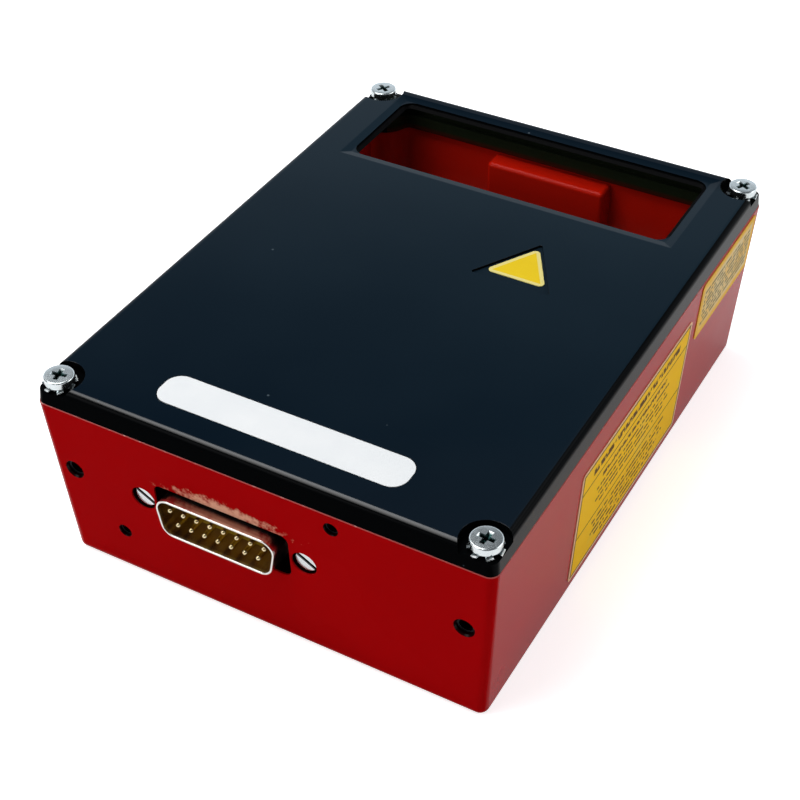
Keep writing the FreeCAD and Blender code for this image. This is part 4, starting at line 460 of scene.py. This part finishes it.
# Moulded epoxy: black and smooth, a little glossier than the holder.
epoxy = mottled(
    "Epoxy, moulded round the chip", {}, ("#141416", "#202124"), patch=0.3, rough=(0.32, 0.46), relief=0.02)
dress(epoxy, "photodiode")
dress(board_green, "receiver_board")
dress(zinc, "receiver_screws")

# The main board
# The electronics lie on four posts of the tub, held by a screw in each: a green glass-epoxy board with
# moulded chips, drawn can capacitors and a crystal soldered to it.
dress(board_green, "main_board")
dress(zinc, "main_board_screws")
dress(epoxy, "circuit_chips")
# Drawn aluminium cans: bright and smooth, marked lightly by the drawing die.
can_metal = striped(
    "Aluminium, deep drawn", METAL, ("#B4B7BA", "#CDD0D2"),
    pitch=0.6, run="Z", rough=(0.22, 0.34), relief=0.005)
dress(can_metal, "capacitors", "crystal")

# The plug
# A fifteen-way pin plug screwed from inside to the front wall: a drawn and tinned shell, a moulded block,
# gilded round pins, two slotted screws with nuts, and an upright board behind.
PIN_PITCH, PIN_ROW_GAP = 2.77, 2.84
# Bright tin: white and smooth on the rim, and behind it along the sides a duller pinkish brown in clouds.
tin, tree, shader, place = new_finish("Steel, drawn and bright tinned", METAL)
rim_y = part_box("connector_shell")[0].y
at = add(tree, "ShaderNodeSeparateXYZ", {0: place})
behind = add(tree, "ShaderNodeMapRange", {
    "Value": at.outputs["Y"], "From Min": rim_y + 0.3 * MM, "From Max": rim_y + 0.8 * MM})
clouds = add(tree, "ShaderNodeTexNoise", {"Vector": place, "Scale": every(1.6), "Detail": 3})
dull = add(tree, "ShaderNodeMix", {
    FACTOR: clouds.outputs[0], COLOUR_A: linear("#8E6A62"), COLOUR_B: linear("#BEA8A0")}, data_type="RGBA")
surface(tree, shader, behind.outputs[0], ("#E6E4DD", dull.outputs[MIXED]), clouds.outputs[0],
        rough=(0.16, 0.3))
eased("connector_shell", round_mm=0.2, finish=tin)
# Moulded polyester, half matt: its dark olive is painted lighter, an olive yellow, as painted light for the
# shade inside the shell.
olive = mottled(
    "Polyester resin, moulded", {"Specular IOR Level": 0.3}, ("#AC8E12", "#C09E18"),
    patch=0.6, rough=(0.4, 0.55), relief=0.03)
dress(olive, "connector_insulator")
dress(moulding, "board_header")


def ringed_spine(tree, rings, share, length):
    """A line up from the origin with points at shares of a length, and the height of each point."""
    line = add(tree, "GeometryNodeCurvePrimitiveLine", {"End": (0, 0, 1)})
    steps = add(tree, "GeometryNodeResampleCurve", {"Curve": line.outputs[0], "Count": rings})
    height = add(tree, "ShaderNodeMath", {0: share, 1: length}, operation="MULTIPLY")
    point = add(tree, "ShaderNodeCombineXYZ", {"Z": height.outputs[0]})
    spine = add(tree, "GeometryNodeSetPosition", {"Geometry": steps.outputs[0], "Position": point.outputs[0]})
    position = add(tree, "GeometryNodeInputPosition")
    level = add(tree, "ShaderNodeSeparateXYZ", {0: position.outputs[0]})
    return spine.outputs[0], level.outputs["Z"]


def quarter_round(tree, share):
    """How wide a quarter circle of radius 1 is at a share of its height."""
    square = add(tree, "ShaderNodeMath", {0: share, 1: 2.0}, operation="POWER")
    rest = add(tree, "ShaderNodeMath", {0: 1.0, 1: square.outputs[0]}, operation="SUBTRACT")
    return add(tree, "ShaderNodeMath", {0: rest.outputs[0]}, operation="SQRT").outputs[0]


def with_rod(tree, shape, sides, radius, length, middle):
    """A shape joined by a plain round rod along its axis, whose middle lies at a height."""
    rod = add(tree, "GeometryNodeMeshCylinder", {"Vertices": sides, "Radius": radius, "Depth": length})
    shift = add(tree, "ShaderNodeCombineXYZ", {"Z": middle})
    moved = add(tree, "GeometryNodeTransform", {"Geometry": rod.outputs[0], "Translation": shift.outputs[0]})
    joined = add(tree, "GeometryNodeJoinGeometry", {0: shape})
    tree.links.new(moved.outputs[0], joined.inputs[0])
    return joined.outputs[0]


# Gilded brass: pale, warm, bright and smooth.
gold = mottled(
    "Brass, turned and gilded", METAL, ("#DAC48C", "#EEE0B8"), patch=0.8, rough=(0.14, 0.24))
tree, given = new_tree("domed pin", "radius", "length", "tip", "tail radius", "tail length")
along = add(tree, "GeometryNodeSplineParameter")
# Rings crowd towards the tip, where the dome needs them.
crowded = add(tree, "ShaderNodeMath", {0: along.outputs["Factor"], 1: 2.6}, operation="POWER")
spine, level = ringed_spine(tree, rings=22, share=crowded.outputs[0], length=given["length"])
short = add(tree, "ShaderNodeMapRange", {
    "Value": level, "From Max": given["tip"], "To Min": 0.97, "To Max": 0.0})
section = add(tree, "GeometryNodeCurvePrimitiveCircle", {"Resolution": 16, "Radius": given["radius"]})
body = add(tree, "GeometryNodeCurveToMesh", {
    "Curve": spine, "Profile Curve": section.outputs[0], "Scale": quarter_round(tree, short.outputs[0]),
    "Fill Caps": True})
half = add(tree, "ShaderNodeMath", {0: given["tail length"], 1: 0.5}, operation="MULTIPLY")
middle = add(tree, "ShaderNodeMath", {0: given["length"], 1: half.outputs[0]}, operation="ADD")
pin = with_rod(tree, body.outputs[0], sides=12, radius=given["tail radius"], length=given["tail length"],
               middle=middle.outputs[0])
set_out(tree, given, pin, gold)
pin_low, pin_high = [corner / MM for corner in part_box("connector_pins")]
board_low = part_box("connector_board")[0] / MM
pins = []
for row, count in ((0.5, 8), (-0.5, 7)):
    for k in range(count):
        x = PLUG_X + (k - (count - 1) / 2) * PIN_PITCH
        pins.append(((x, pin_low[1], PLUG_Z + row * PIN_ROW_GAP), REARWARD, 0))
pin_sizes = {"radius": 0.5, "length": board_low[1] - pin_low[1], "tip": 0.5, "tail radius": 0.3,
             "tail length": pin_high[1] - board_low[1]}
grown("plug_pins", tree, pin_sizes, pins, "gold_contact", "connector_pins")
# The same zinc plate on the two screws: bright on the flat of the heads, and painted black in the slots and
# round the heads as painted shade for the recesses they sit in.
shaded, tree, shader, place = new_finish("Steel, zinc plated, soiled in the slots", METAL)
head_face, slot_floor = -58.66 * MM, -58.5 * MM
at = add(tree, "ShaderNodeSeparateXYZ", {0: place})
recess_shade = add(tree, "ShaderNodeMapRange", {
    "Value": at.outputs["Y"], "From Min": head_face, "From Max": slot_floor})
surface(tree, shader, recess_shade.outputs[0], ("#DDE3E4", "#15120F"), recess_shade.outputs[0], rough=(0.24, 0.6))
eased("connector_screws", round_mm=0.14, finish=shaded)
dress(zinc, "connector_nuts")
dress(board_green, "connector_board")

# The cover seal
# A flat ring cut from rubber sheet lies loose on the ledge inside the tub's rim, where the lip of the cover
# presses it down.
dress(rubber, "cover_seal")

# The cover
# A shallow aluminium die casting with a rounded top edge, screwed to the tub on the seal. Its enamel is
# smooth, half glossy and black; the flat top is coloured blue-black, a painted reflection.
coat, tree, shader, place = new_finish("Blue-black enamel, coated on die-cast aluminium", {"IOR": 1.5})
at = add(tree, "ShaderNodeSeparateXYZ", {0: place})
# The front side, which hands and sockets rub against, has gone dull.
front_face, front_back = -59.75 * MM, -59.45 * MM
front = add(tree, "ShaderNodeMapRange", {
    "Value": at.outputs["Y"], "From Min": front_face, "From Max": front_back, "To Min": 0.08})
# Only the crest of the rounded edge is polished by use.
crest_foot, crest_top = 40.5 * MM, 40.72 * MM
crest = add(tree, "ShaderNodeMapRange", {
    "Value": at.outputs["Z"], "From Min": crest_foot, "From Max": crest_top, "To Min": 0.02, "To Max": 0.5})
gloss = edge_gloss(tree, most=crest.outputs[0], least=0.02, glance=(0.42, 0.66, 0.07))
add(tree, "ShaderNodeMath", {0: gloss, 1: front.outputs[0]}, operation="MULTIPLY",
    to=shader.inputs["Specular IOR Level"])
cloud = add(tree, "ShaderNodeTexNoise", {"Vector": place, "Scale": every(30), "Detail": 2})
# A painted reflection: the top is coloured paler towards the back in slow clouds, but not on the narrow frame
# behind the window.
sheen_drift, sheen_start, sheen_full = 40 * MM, -40 * MM, 50 * MM
frame_front, frame_back = 53 * MM, 57.5 * MM
drift = add(tree, "ShaderNodeMath", {
    0: cloud.outputs[0], 1: sheen_drift, 2: at.outputs["Y"]}, operation="MULTIPLY_ADD")
sheen_to_back = add(tree, "ShaderNodeMapRange", {
    "Value": drift.outputs[0], "From Min": sheen_start, "From Max": sheen_full})
before_frame = add(tree, "ShaderNodeMapRange", {
    "Value": at.outputs["Y"], "From Min": frame_back, "From Max": frame_front})
top_sheen = add(tree, "ShaderNodeMath", {0: sheen_to_back.outputs[0], 1: before_frame.outputs[0]}, operation="MULTIPLY")
blue = add(tree, "ShaderNodeMix", {
    FACTOR: top_sheen.outputs[0], COLOUR_A: linear("#0A1722"), COLOUR_B: linear("#1A2832")}, data_type="RGBA")
top = add(tree, "ShaderNodeAttribute", attribute_name="top")
coated = add(tree, "ShaderNodeMix", {
    FACTOR: top.outputs["Fac"], COLOUR_A: linear("#060708"), COLOUR_B: blue.outputs[MIXED]}, data_type="RGBA")
# The skirt under the window is left in green chromate, reddened near the tub's paint.
red_height, green_height = 34.0 * MM, 35.4 * MM
clear = add(tree, "ShaderNodeMapRange", {
    "Value": at.outputs["Z"], "From Min": red_height, "From Max": green_height})
chromate = add(tree, "ShaderNodeMix", {
    FACTOR: clear.outputs[0], COLOUR_A: linear("#4A0A05"), COLOUR_B: linear("#1C2315")}, data_type="RGBA")
skirt = inside(tree, place, centre=(0, 43, 19.6), half=(37.7, 14.2, 19.6))
black = add(tree, "ShaderNodeMix", {
    FACTOR: skirt, COLOUR_A: coated.outputs[MIXED], COLOUR_B: chromate.outputs[MIXED]}, data_type="RGBA")
# A few specks of dust lie on it.
specks = add(tree, "ShaderNodeTexVoronoi", {"Vector": place, "Scale": every(9), "Randomness": 1.0})
dust = add(tree, "ShaderNodeMapRange", {
    "Value": specks.outputs["Distance"], "From Min": 0.03, "From Max": 0.018})
grain = add(tree, "ShaderNodeTexNoise", {"Vector": place, "Scale": every(0.5), "Detail": 2})
surface(tree, shader, dust.outputs[0], (black.outputs[MIXED], "#4A565E"), cloud.outputs[0], rough=(0.14, 0.2),
        relief=(grain.outputs[0], 0.06, 0.03))
mesh = eased("cover", round_mm=0.14, finish=coat)
# The faces that look straight up on the top are marked for the painted blue-black reflection.
upward, top_height = 0.97, 40 * MM
marks = mesh.attributes.new("top", "FLOAT", "FACE")
for face in mesh.polygons:
    marks.data[face.index].value = face.normal.z > upward and face.center.z > top_height

# The window
# A pane of float glass bonded from below into the cover, with a bead of black sealant along its edge. It is
# faintly smoked: the red inside shows through it, dimmed, and a film of dust takes its sheen away.
smoked = {"IOR": 1.5, "Alpha": 0.05, "Specular IOR Level": 0.0}
pane, tree, shader, place = new_finish("Float glass, faintly smoked", smoked)
film = add(tree, "ShaderNodeTexNoise", {"Vector": place, "Scale": every(9), "Detail": 4})
surface(tree, shader, film.outputs[0], ("#060A08", "#0C110E"), film.outputs[0], rough=(0.02, 0.1))
dress(pane, "window_glass")
# Cured sealant: black, soft and slightly uneven.
sealant = mottled(
    "Silicone sealant, smoothed by hand", {"Specular IOR Level": 0.02}, ("#050506", "#0B0B0C"),
    patch=2.0, rough=(0.35, 0.5), relief=0.1)
dress(sealant, "window_bead")

# The cover screws
# Four pan-head screws with cross recesses hold the cover, each on a toothed washer in a corner notch.
# They are headed and rolled from steel wire and zinc plated; each stands at its own turn.
SCREW_X, SCREW_Y, SCREW_SEAT = 41.6, 56.85, 39.999
# Zinc plate as on the other screws: bright on the heads, and painted a dark sea green down in the recesses as
# painted shade.
bright_zinc, tree, shader, place = new_finish("Steel, zinc plated, dark in the recesses", METAL)
flat = add(tree, "ShaderNodeMapping", {"Vector": place, "Scale": (1, 1, 0)})
folded = add(tree, "ShaderNodeVectorMath", {0: flat.outputs[0]}, operation="ABSOLUTE")
away = add(tree, "ShaderNodeVectorMath", {
    0: folded.outputs[0], 1: (SCREW_X * MM, SCREW_Y * MM, 0)}, operation="DISTANCE")
recess_reach, dark_start, dark_full = 1.9 * MM, (SCREW_SEAT + 1.37) * MM, (SCREW_SEAT + 1.0) * MM
inner = add(tree, "ShaderNodeMath", {0: away.outputs["Value"], 1: recess_reach}, operation="LESS_THAN")
at = add(tree, "ShaderNodeSeparateXYZ", {0: place})
deep = add(tree, "ShaderNodeMapRange", {
    "Value": at.outputs["Z"], "From Min": dark_start, "From Max": dark_full})
dark = add(tree, "ShaderNodeMath", {0: inner.outputs[0], 1: deep.outputs[0]}, operation="MULTIPLY")
sheen = add(tree, "ShaderNodeTexNoise", {"Vector": place, "Scale": every(1.5), "Detail": 3})
surface(tree, shader, dark.outputs[0], ("#E2E9EA", "#2C4C4A"), sheen.outputs[0], rough=(0.18, 0.32))
tree, given = new_tree("cross-recess screw", "head radius", "head height", "head round", "recess span",
                       "recess width", "recess depth", "shank radius", "shank length")
along = add(tree, "GeometryNodeSplineParameter").outputs["Factor"]
# Rings crowd towards the top, where the edge is round.
left = add(tree, "ShaderNodeMath", {0: 1.0, 1: along}, operation="SUBTRACT")
crowded = add(tree, "ShaderNodeMath", {0: left.outputs[0], 1: 1.8}, operation="POWER")
upward = add(tree, "ShaderNodeMath", {0: 1.0, 1: crowded.outputs[0]}, operation="SUBTRACT")
spine, level = ringed_spine(tree, rings=18, share=upward.outputs[0], length=given["head height"])
shoulder = add(tree, "ShaderNodeMath", {
    0: given["head height"], 1: given["head round"]}, operation="SUBTRACT")
rise = add(tree, "ShaderNodeMapRange", {
    "Value": level, "From Min": shoulder.outputs[0], "From Max": given["head height"]})
flat = add(tree, "ShaderNodeMath", {0: given["head radius"], 1: given["head round"]}, operation="SUBTRACT")
girth = add(tree, "ShaderNodeMath", {
    0: quarter_round(tree, rise.outputs[0]), 1: given["head round"], 2: flat.outputs[0]},
    operation="MULTIPLY_ADD")
section = add(tree, "GeometryNodeCurvePrimitiveCircle", {"Resolution": 48, "Radius": 1.0})
head = add(tree, "GeometryNodeCurveToMesh", {
    "Curve": spine, "Profile Curve": section.outputs[0], "Scale": girth.outputs[0], "Fill Caps": True})
# Each wing of the punch that makes the recess narrows as it goes down.
bottom = add(tree, "ShaderNodeMath", {
    0: given["head height"], 1: given["recess depth"]}, operation="SUBTRACT")
above = add(tree, "ShaderNodeMath", {0: given["head height"], 1: given["head round"]}, operation="ADD")
start = add(tree, "ShaderNodeCombineXYZ", {"Z": bottom.outputs[0]})
end = add(tree, "ShaderNodeCombineXYZ", {"Z": above.outputs[0]})
line = add(tree, "GeometryNodeCurvePrimitiveLine", {"Start": start.outputs[0], "End": end.outputs[0]})
blade = add(tree, "GeometryNodeCurvePrimitiveQuadrilateral", {
    "Width": given["recess span"], "Height": given["recess width"]})
taper = add(tree, "ShaderNodeMapRange", {"Value": along, "To Min": 0.4, "To Max": 1.25})
wing = add(tree, "GeometryNodeCurveToMesh", {
    "Curve": line.outputs[0], "Profile Curve": blade.outputs[0], "Scale": taper.outputs[0],
    "Fill Caps": True})
across = add(tree, "GeometryNodeTransform", {"Geometry": wing.outputs[0], "Rotation": (0, 0, math.pi / 2)})
punched = add(tree, "GeometryNodeMeshBoolean", {
    0: head.outputs[0], 1: wing.outputs[0]}, operation="DIFFERENCE", solver="EXACT")
tree.links.new(across.outputs[0], punched.inputs[1])
# The shank reaches a little way up into the head.
middle = add(tree, "ShaderNodeMath", {0: given["shank length"], 1: -0.49}, operation="MULTIPLY")
screw = with_rod(tree, punched.outputs[0], sides=24, radius=given["shank radius"],
                 length=given["shank length"], middle=middle.outputs[0])
set_out(tree, given, screw, bright_zinc)
corners = ((-SCREW_X, -SCREW_Y, 12), (SCREW_X, -SCREW_Y, 85), (-SCREW_X, SCREW_Y, 55), (SCREW_X, SCREW_Y, 61))
screws = [((x, y, SCREW_SEAT), UP, turn) for x, y, turn in corners]
screw_sizes = {"head radius": 2.75, "head height": 1.4, "head round": 0.3, "recess span": 2.9,
               "recess width": 0.85, "recess depth": 1.1, "shank radius": 1.45, "shank length": 12.5}
grown("cross_screws", tree, screw_sizes, screws, "zinc_plated_steel", "cover_screws")
dress(zinc, "cover_lock_washers")

# The plate on the cover
# A thin aluminium plate, lacquered white and left bare, is glued flush into a shallow recess near the plug.

# Lacquered sheet: white, smooth and half matt, with a very slight waviness.
white_plate = mottled(
    "Aluminium sheet, lacquered white", {"IOR": 1.45, "Specular IOR Level": 0.3}, ("#F4F6F7", "#FAFBFB"),
    patch=8.0, rough=(0.3, 0.4), relief=0.02)
dress(white_plate, "name_plate")

# The triangle on the cover
# A bare yellow foil with a paler rim, cut to a rounded triangle and stuck in a recess beside the window.
TRIANGLE_X, TRIANGLE_Y, TRIANGLE_INRADIUS, TRIANGLE_RIM = 14.8, 11.1, 3.67, 0.75
# Printed polyester: bright yellow and smooth, the rim left nearly unprinted.
foil, tree, shader, place = new_finish(
    "Polyester foil, printed yellow", {"IOR": 1.45, "Specular IOR Level": 0.2})
centred = add(tree, "ShaderNodeMapping", {
    "Vector": place, "Location": (-TRIANGLE_X * MM, -TRIANGLE_Y * MM, 0)})
# The distance from the middle, measured towards the nearest of the three sides.
outward = 0.0
for side in (math.radians(-90), math.radians(30), math.radians(150)):
    towards = add(tree, "ShaderNodeVectorMath", {
        0: centred.outputs[0], 1: (math.cos(side), math.sin(side), 0)}, operation="DOT_PRODUCT")
    farther = add(tree, "ShaderNodeMath", {0: towards.outputs["Value"], 1: outward}, operation="MAXIMUM")
    outward = farther.outputs[0]
rim_line = TRIANGLE_INRADIUS - TRIANGLE_RIM
pale = add(tree, "ShaderNodeMapRange", {
    "Value": outward, "From Min": (rim_line - 0.05) * MM, "From Max": (rim_line + 0.05) * MM})
tone = add(tree, "ShaderNodeTexNoise", {"Vector": place, "Scale": every(5), "Detail": 3})
yellow = add(tree, "ShaderNodeMix", {
    FACTOR: tone.outputs[0], COLOUR_A: linear("#EFC80A"), COLOUR_B: linear("#F6D412")}, data_type="RGBA")
surface(tree, shader, pale.outputs[0], (yellow.outputs[MIXED], "#EFE08A"), tone.outputs[0], rough=(0.3, 0.42))
dress(foil, "triangle_label")

# The foils on the right wall
# Two yellow foils are stuck side by side on the leaning wall. The larger one has a brown frame, rules and
# rows of blind strokes, and is rubbed in places; the smaller one is worn pale, with close rows of strokes.


def printed_foil(name, node, constants, hues, inset, line, rules, pitch, rows, wear):
    """A printed foil: a pale margin, a frame, rules across it, rows of broken strokes, and wear."""
    plain, faded, edging, brown = [linear(hue) for hue in hues]
    low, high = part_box(node)
    finish, tree, shader, place = new_finish(name, constants)
    centred = add(tree, "ShaderNodeMapping", {"Vector": place, "Location": -(low + high) / 2})
    spread = add(tree, "ShaderNodeSeparateXYZ", {0: centred.outputs[0]})
    level = spread.outputs["Z"]
    apart = add(tree, "ShaderNodeVectorMath", {0: centred.outputs[0]}, operation="ABSOLUTE")
    across = add(tree, "ShaderNodeSeparateXYZ", {0: apart.outputs[0]}).outputs["Y"]
    beyond = add(tree, "ShaderNodeVectorMath", {
        0: apart.outputs[0], 1: (high - low) / 2}, operation="SUBTRACT")
    parts = add(tree, "ShaderNodeSeparateXYZ", {0: beyond.outputs[0]})
    # How far a point lies from the foil's nearest edge, below zero inside it.
    reach = add(tree, "ShaderNodeMath", {0: parts.outputs["Y"], 1: parts.outputs["Z"]}, operation="MAXIMUM")
    margin = add(tree, "ShaderNodeMath", {0: reach.outputs[0], 1: -inset * MM}, operation="GREATER_THAN")
    ink = add(tree, "ShaderNodeMath", {
        0: reach.outputs[0], 1: -inset * MM, 2: line / 2 * MM}, operation="COMPARE")
    # Strokes break off straight up and down, at other places in each band of the row pitch.
    band = add(tree, "ShaderNodeMath", {0: level, 1: pitch * MM}, operation="SNAP")
    along = add(tree, "ShaderNodeCombineXYZ", {"Y": spread.outputs["Y"], "Z": band.outputs[0]})
    strokes = add(tree, "ShaderNodeTexNoise", {"Vector": along.outputs[0], "Scale": every(0.9), "Detail": 2})
    broken = add(tree, "ShaderNodeMath", {0: strokes.outputs[0], 1: 0.45}, operation="GREATER_THAN")
    for height, length, thick in rules + rows:
        mark = add(tree, "ShaderNodeMath", {0: level, 1: height * MM, 2: thick / 2 * MM}, operation="COMPARE")
        within = add(tree, "ShaderNodeMath", {0: across, 1: length * MM}, operation="LESS_THAN")
        for limit in (within, broken) if (height, length, thick) in rows else (within,):
            mark = add(tree, "ShaderNodeMath", {
                0: mark.outputs[0], 1: limit.outputs[0]}, operation="MULTIPLY")
        ink = add(tree, "ShaderNodeMath", {0: ink.outputs[0], 1: mark.outputs[0]}, operation="MAXIMUM")
    rubs = add(tree, "ShaderNodeTexNoise", {
        "Vector": place, "Scale": every(9), "Detail": 5, "Roughness": 0.6})
    pale_patches = add(tree, "ShaderNodeMapRange", {
        "Value": rubs.outputs[0], "From Min": wear[0], "From Max": wear[1]})
    ground = add(tree, "ShaderNodeMix", {
        FACTOR: pale_patches.outputs[0], COLOUR_A: plain, COLOUR_B: faded}, data_type="RGBA")
    edged = add(tree, "ShaderNodeMix", {
        FACTOR: margin.outputs[0], COLOUR_A: ground.outputs[MIXED], COLOUR_B: edging}, data_type="RGBA")
    surface(tree, shader, ink.outputs[0], (edged.outputs[MIXED], brown), rubs.outputs[0], rough=(0.35, 0.6))
    dress(finish, node)


# Printed polyester: warm yellow with brown ink, nearly matt, and paler in clouds where it is rubbed.
# Rules and rows are given by their height, half length and thickness.
LARGE_RULES = [(7.8, 24.3, 0.3), (-3.0, 24.3, 0.3)]
LARGE_ROWS = [(10.15, 20, 1.5), (5.8, 15, 1.0), (3.63, 17, 0.55), (2.18, 16, 0.55), (0.73, 17, 0.55),
              (-0.73, 15, 0.55), (-5.08, 17, 0.6), (-6.53, 16, 0.6), (-7.98, 17, 0.6), (-9.43, 15, 0.6),
              (-10.88, 12, 0.55)]
SMALL_PITCH = 1.1
SMALL_ROWS = [(3.85 - SMALL_PITCH * k, 12.5, 0.6) for k in range(8)]
printed_foil("Polyester foil, printed yellow with a brown frame", "large_side_label",
             {"IOR": 1.45, "Specular IOR Level": 0.05}, ("#FFC806", "#F2CB4C", "#F4C9A0", "#5A3A08"),
             inset=0.8, line=0.4, rules=LARGE_RULES, pitch=1.45, rows=LARGE_ROWS, wear=(0.55, 0.75))
printed_foil("Polyester foil, printed yellow and worn pale", "small_side_label",
             {"IOR": 1.45, "Specular IOR Level": 0.06}, ("#F2C050", "#E6CC94", "#F2BC3C", "#80704C"),
             inset=1.3, line=0.0, rules=[], pitch=SMALL_PITCH, rows=SMALL_ROWS, wear=(0.35, 0.55))

# The studio
# A white table, a soft box overhead, a soft panel at the front left and one on the right, and a room with a
# white far wall. The lamps' places and sizes are in metres, their powers in watts.


def lamp(name, place, size, power):
    """A white soft box that faces the reader."""
    light = bpy.data.lights.new(name, "AREA")
    light.shape = "RECTANGLE"
    light.size, light.size_y = size
    light.energy = power
    box = bpy.data.objects.new(name, light)
    box.location = place
    box.rotation_euler = (Vector((0, 0, 0.02)) - Vector(place)).to_track_quat("-Z", "Y").to_euler()
    bpy.context.scene.collection.objects.link(box)


lamp("overhead soft box", place=(-0.3, -0.1, 0.8), size=(0.8, 0.5), power=5.0)
lamp("front panel", place=(-0.55, -0.75, 0.45), size=(0.5, 0.4), power=2.0)
lamp("side panel", place=(0.85, 0.35, 0.4), size=(0.6, 0.6), power=2.4)

# The far wall of the room is white near the table and dim above; the rest of the room is dim all over.
FAR_WALL, DIM, WHITE = (-0.2, 0.98, 0), 0.14, 1.0
room = bpy.data.worlds.new("room")
bpy.context.scene.world = room
room.use_nodes = True
tree = room.node_tree
around = add(tree, "ShaderNodeTexCoord").outputs["Generated"]
facing = add(tree, "ShaderNodeVectorMath", {0: around, 1: FAR_WALL}, operation="DOT_PRODUCT")
beyond = add(tree, "ShaderNodeMapRange", {
    "Value": facing.outputs["Value"], "From Min": -0.1, "From Max": 0.5})
at = add(tree, "ShaderNodeSeparateXYZ", {0: around})
low = add(tree, "ShaderNodeMapRange", {"Value": at.outputs["Z"], "From Min": 0.63, "From Max": 0.5})
wall = add(tree, "ShaderNodeMath", {0: beyond.outputs[0], 1: low.outputs[0]}, operation="MULTIPLY")
add(tree, "ShaderNodeMapRange", {"Value": wall.outputs[0], "To Min": DIM, "To Max": WHITE},
    to=tree.nodes["Background"].inputs["Strength"])
tree.nodes["Background"].inputs["Color"].default_value = linear("#E4ECF4")

# The table lies a hair under the reader's base, so that the two faces don't mix.
half, under = 3.0, -0.02 * MM
table_top = bpy.data.meshes.new("table")
table_corners = ((-half, -half), (half, -half), (half, half), (-half, half))
table_top.from_pydata([(x, y, under) for x, y in table_corners], [], [(0, 1, 2, 3)])
table = bpy.data.objects.new("table", table_top)
bpy.context.scene.collection.objects.link(table)
# Matt laminate: it shows white to the eye and in reflections, and still takes the reader's shadow.
SEEN, MIRRORED = 0.7, 0.25
laminate = {"Base Color": linear("#F4F4F4"), "Roughness": 0.6, "Emission Color": (1, 1, 1, 1)}
white, tree, shader, place = new_finish("White laminate, matt", laminate)
rays = add(tree, "ShaderNodeLightPath").outputs
looks = add(tree, "ShaderNodeMath", {
    0: rays["Is Camera Ray"], 1: rays["Is Transmission Ray"]}, operation="ADD")
bright = add(tree, "ShaderNodeMath", {0: looks.outputs[0], 1: SEEN}, operation="MULTIPLY")
add(tree, "ShaderNodeMath", {0: rays["Is Glossy Ray"], 1: MIRRORED, 2: bright.outputs[0]},
    operation="MULTIPLY_ADD", to=shader.inputs["Emission Strength"])
table_top.materials.append(white)

# The camera
# It stands at the photograph's angle: turned to the right of the plug face, looking down, a touch rolled.
AZIMUTH, ELEVATION, ROLL = math.radians(29.74), math.radians(40.08), math.radians(-0.72)
TARGET, DISTANCE = Vector((-5.8, -0.2, 8.09)) * MM, 325.34 * MM
back = Vector((math.sin(AZIMUTH) * math.cos(ELEVATION), -math.cos(AZIMUTH) * math.cos(ELEVATION),
               math.sin(ELEVATION)))
right = Vector((math.cos(AZIMUTH), math.sin(AZIMUTH), 0))
up = back.cross(right)
right, up = math.cos(ROLL) * right + math.sin(ROLL) * up, math.cos(ROLL) * up - math.sin(ROLL) * right
lens = bpy.data.cameras.new("camera")
lens.lens = 72.56
lens.sensor_width = 36
camera = bpy.data.objects.new("camera", lens)
aim = Matrix((right, up, back)).transposed().to_4x4()
camera.matrix_world = Matrix.Translation(TARGET + DISTANCE * back) @ aim
bpy.context.scene.collection.objects.link(camera)
bpy.context.scene.camera = camera
bpy.context.scene.view_settings.view_transform = "Standard"
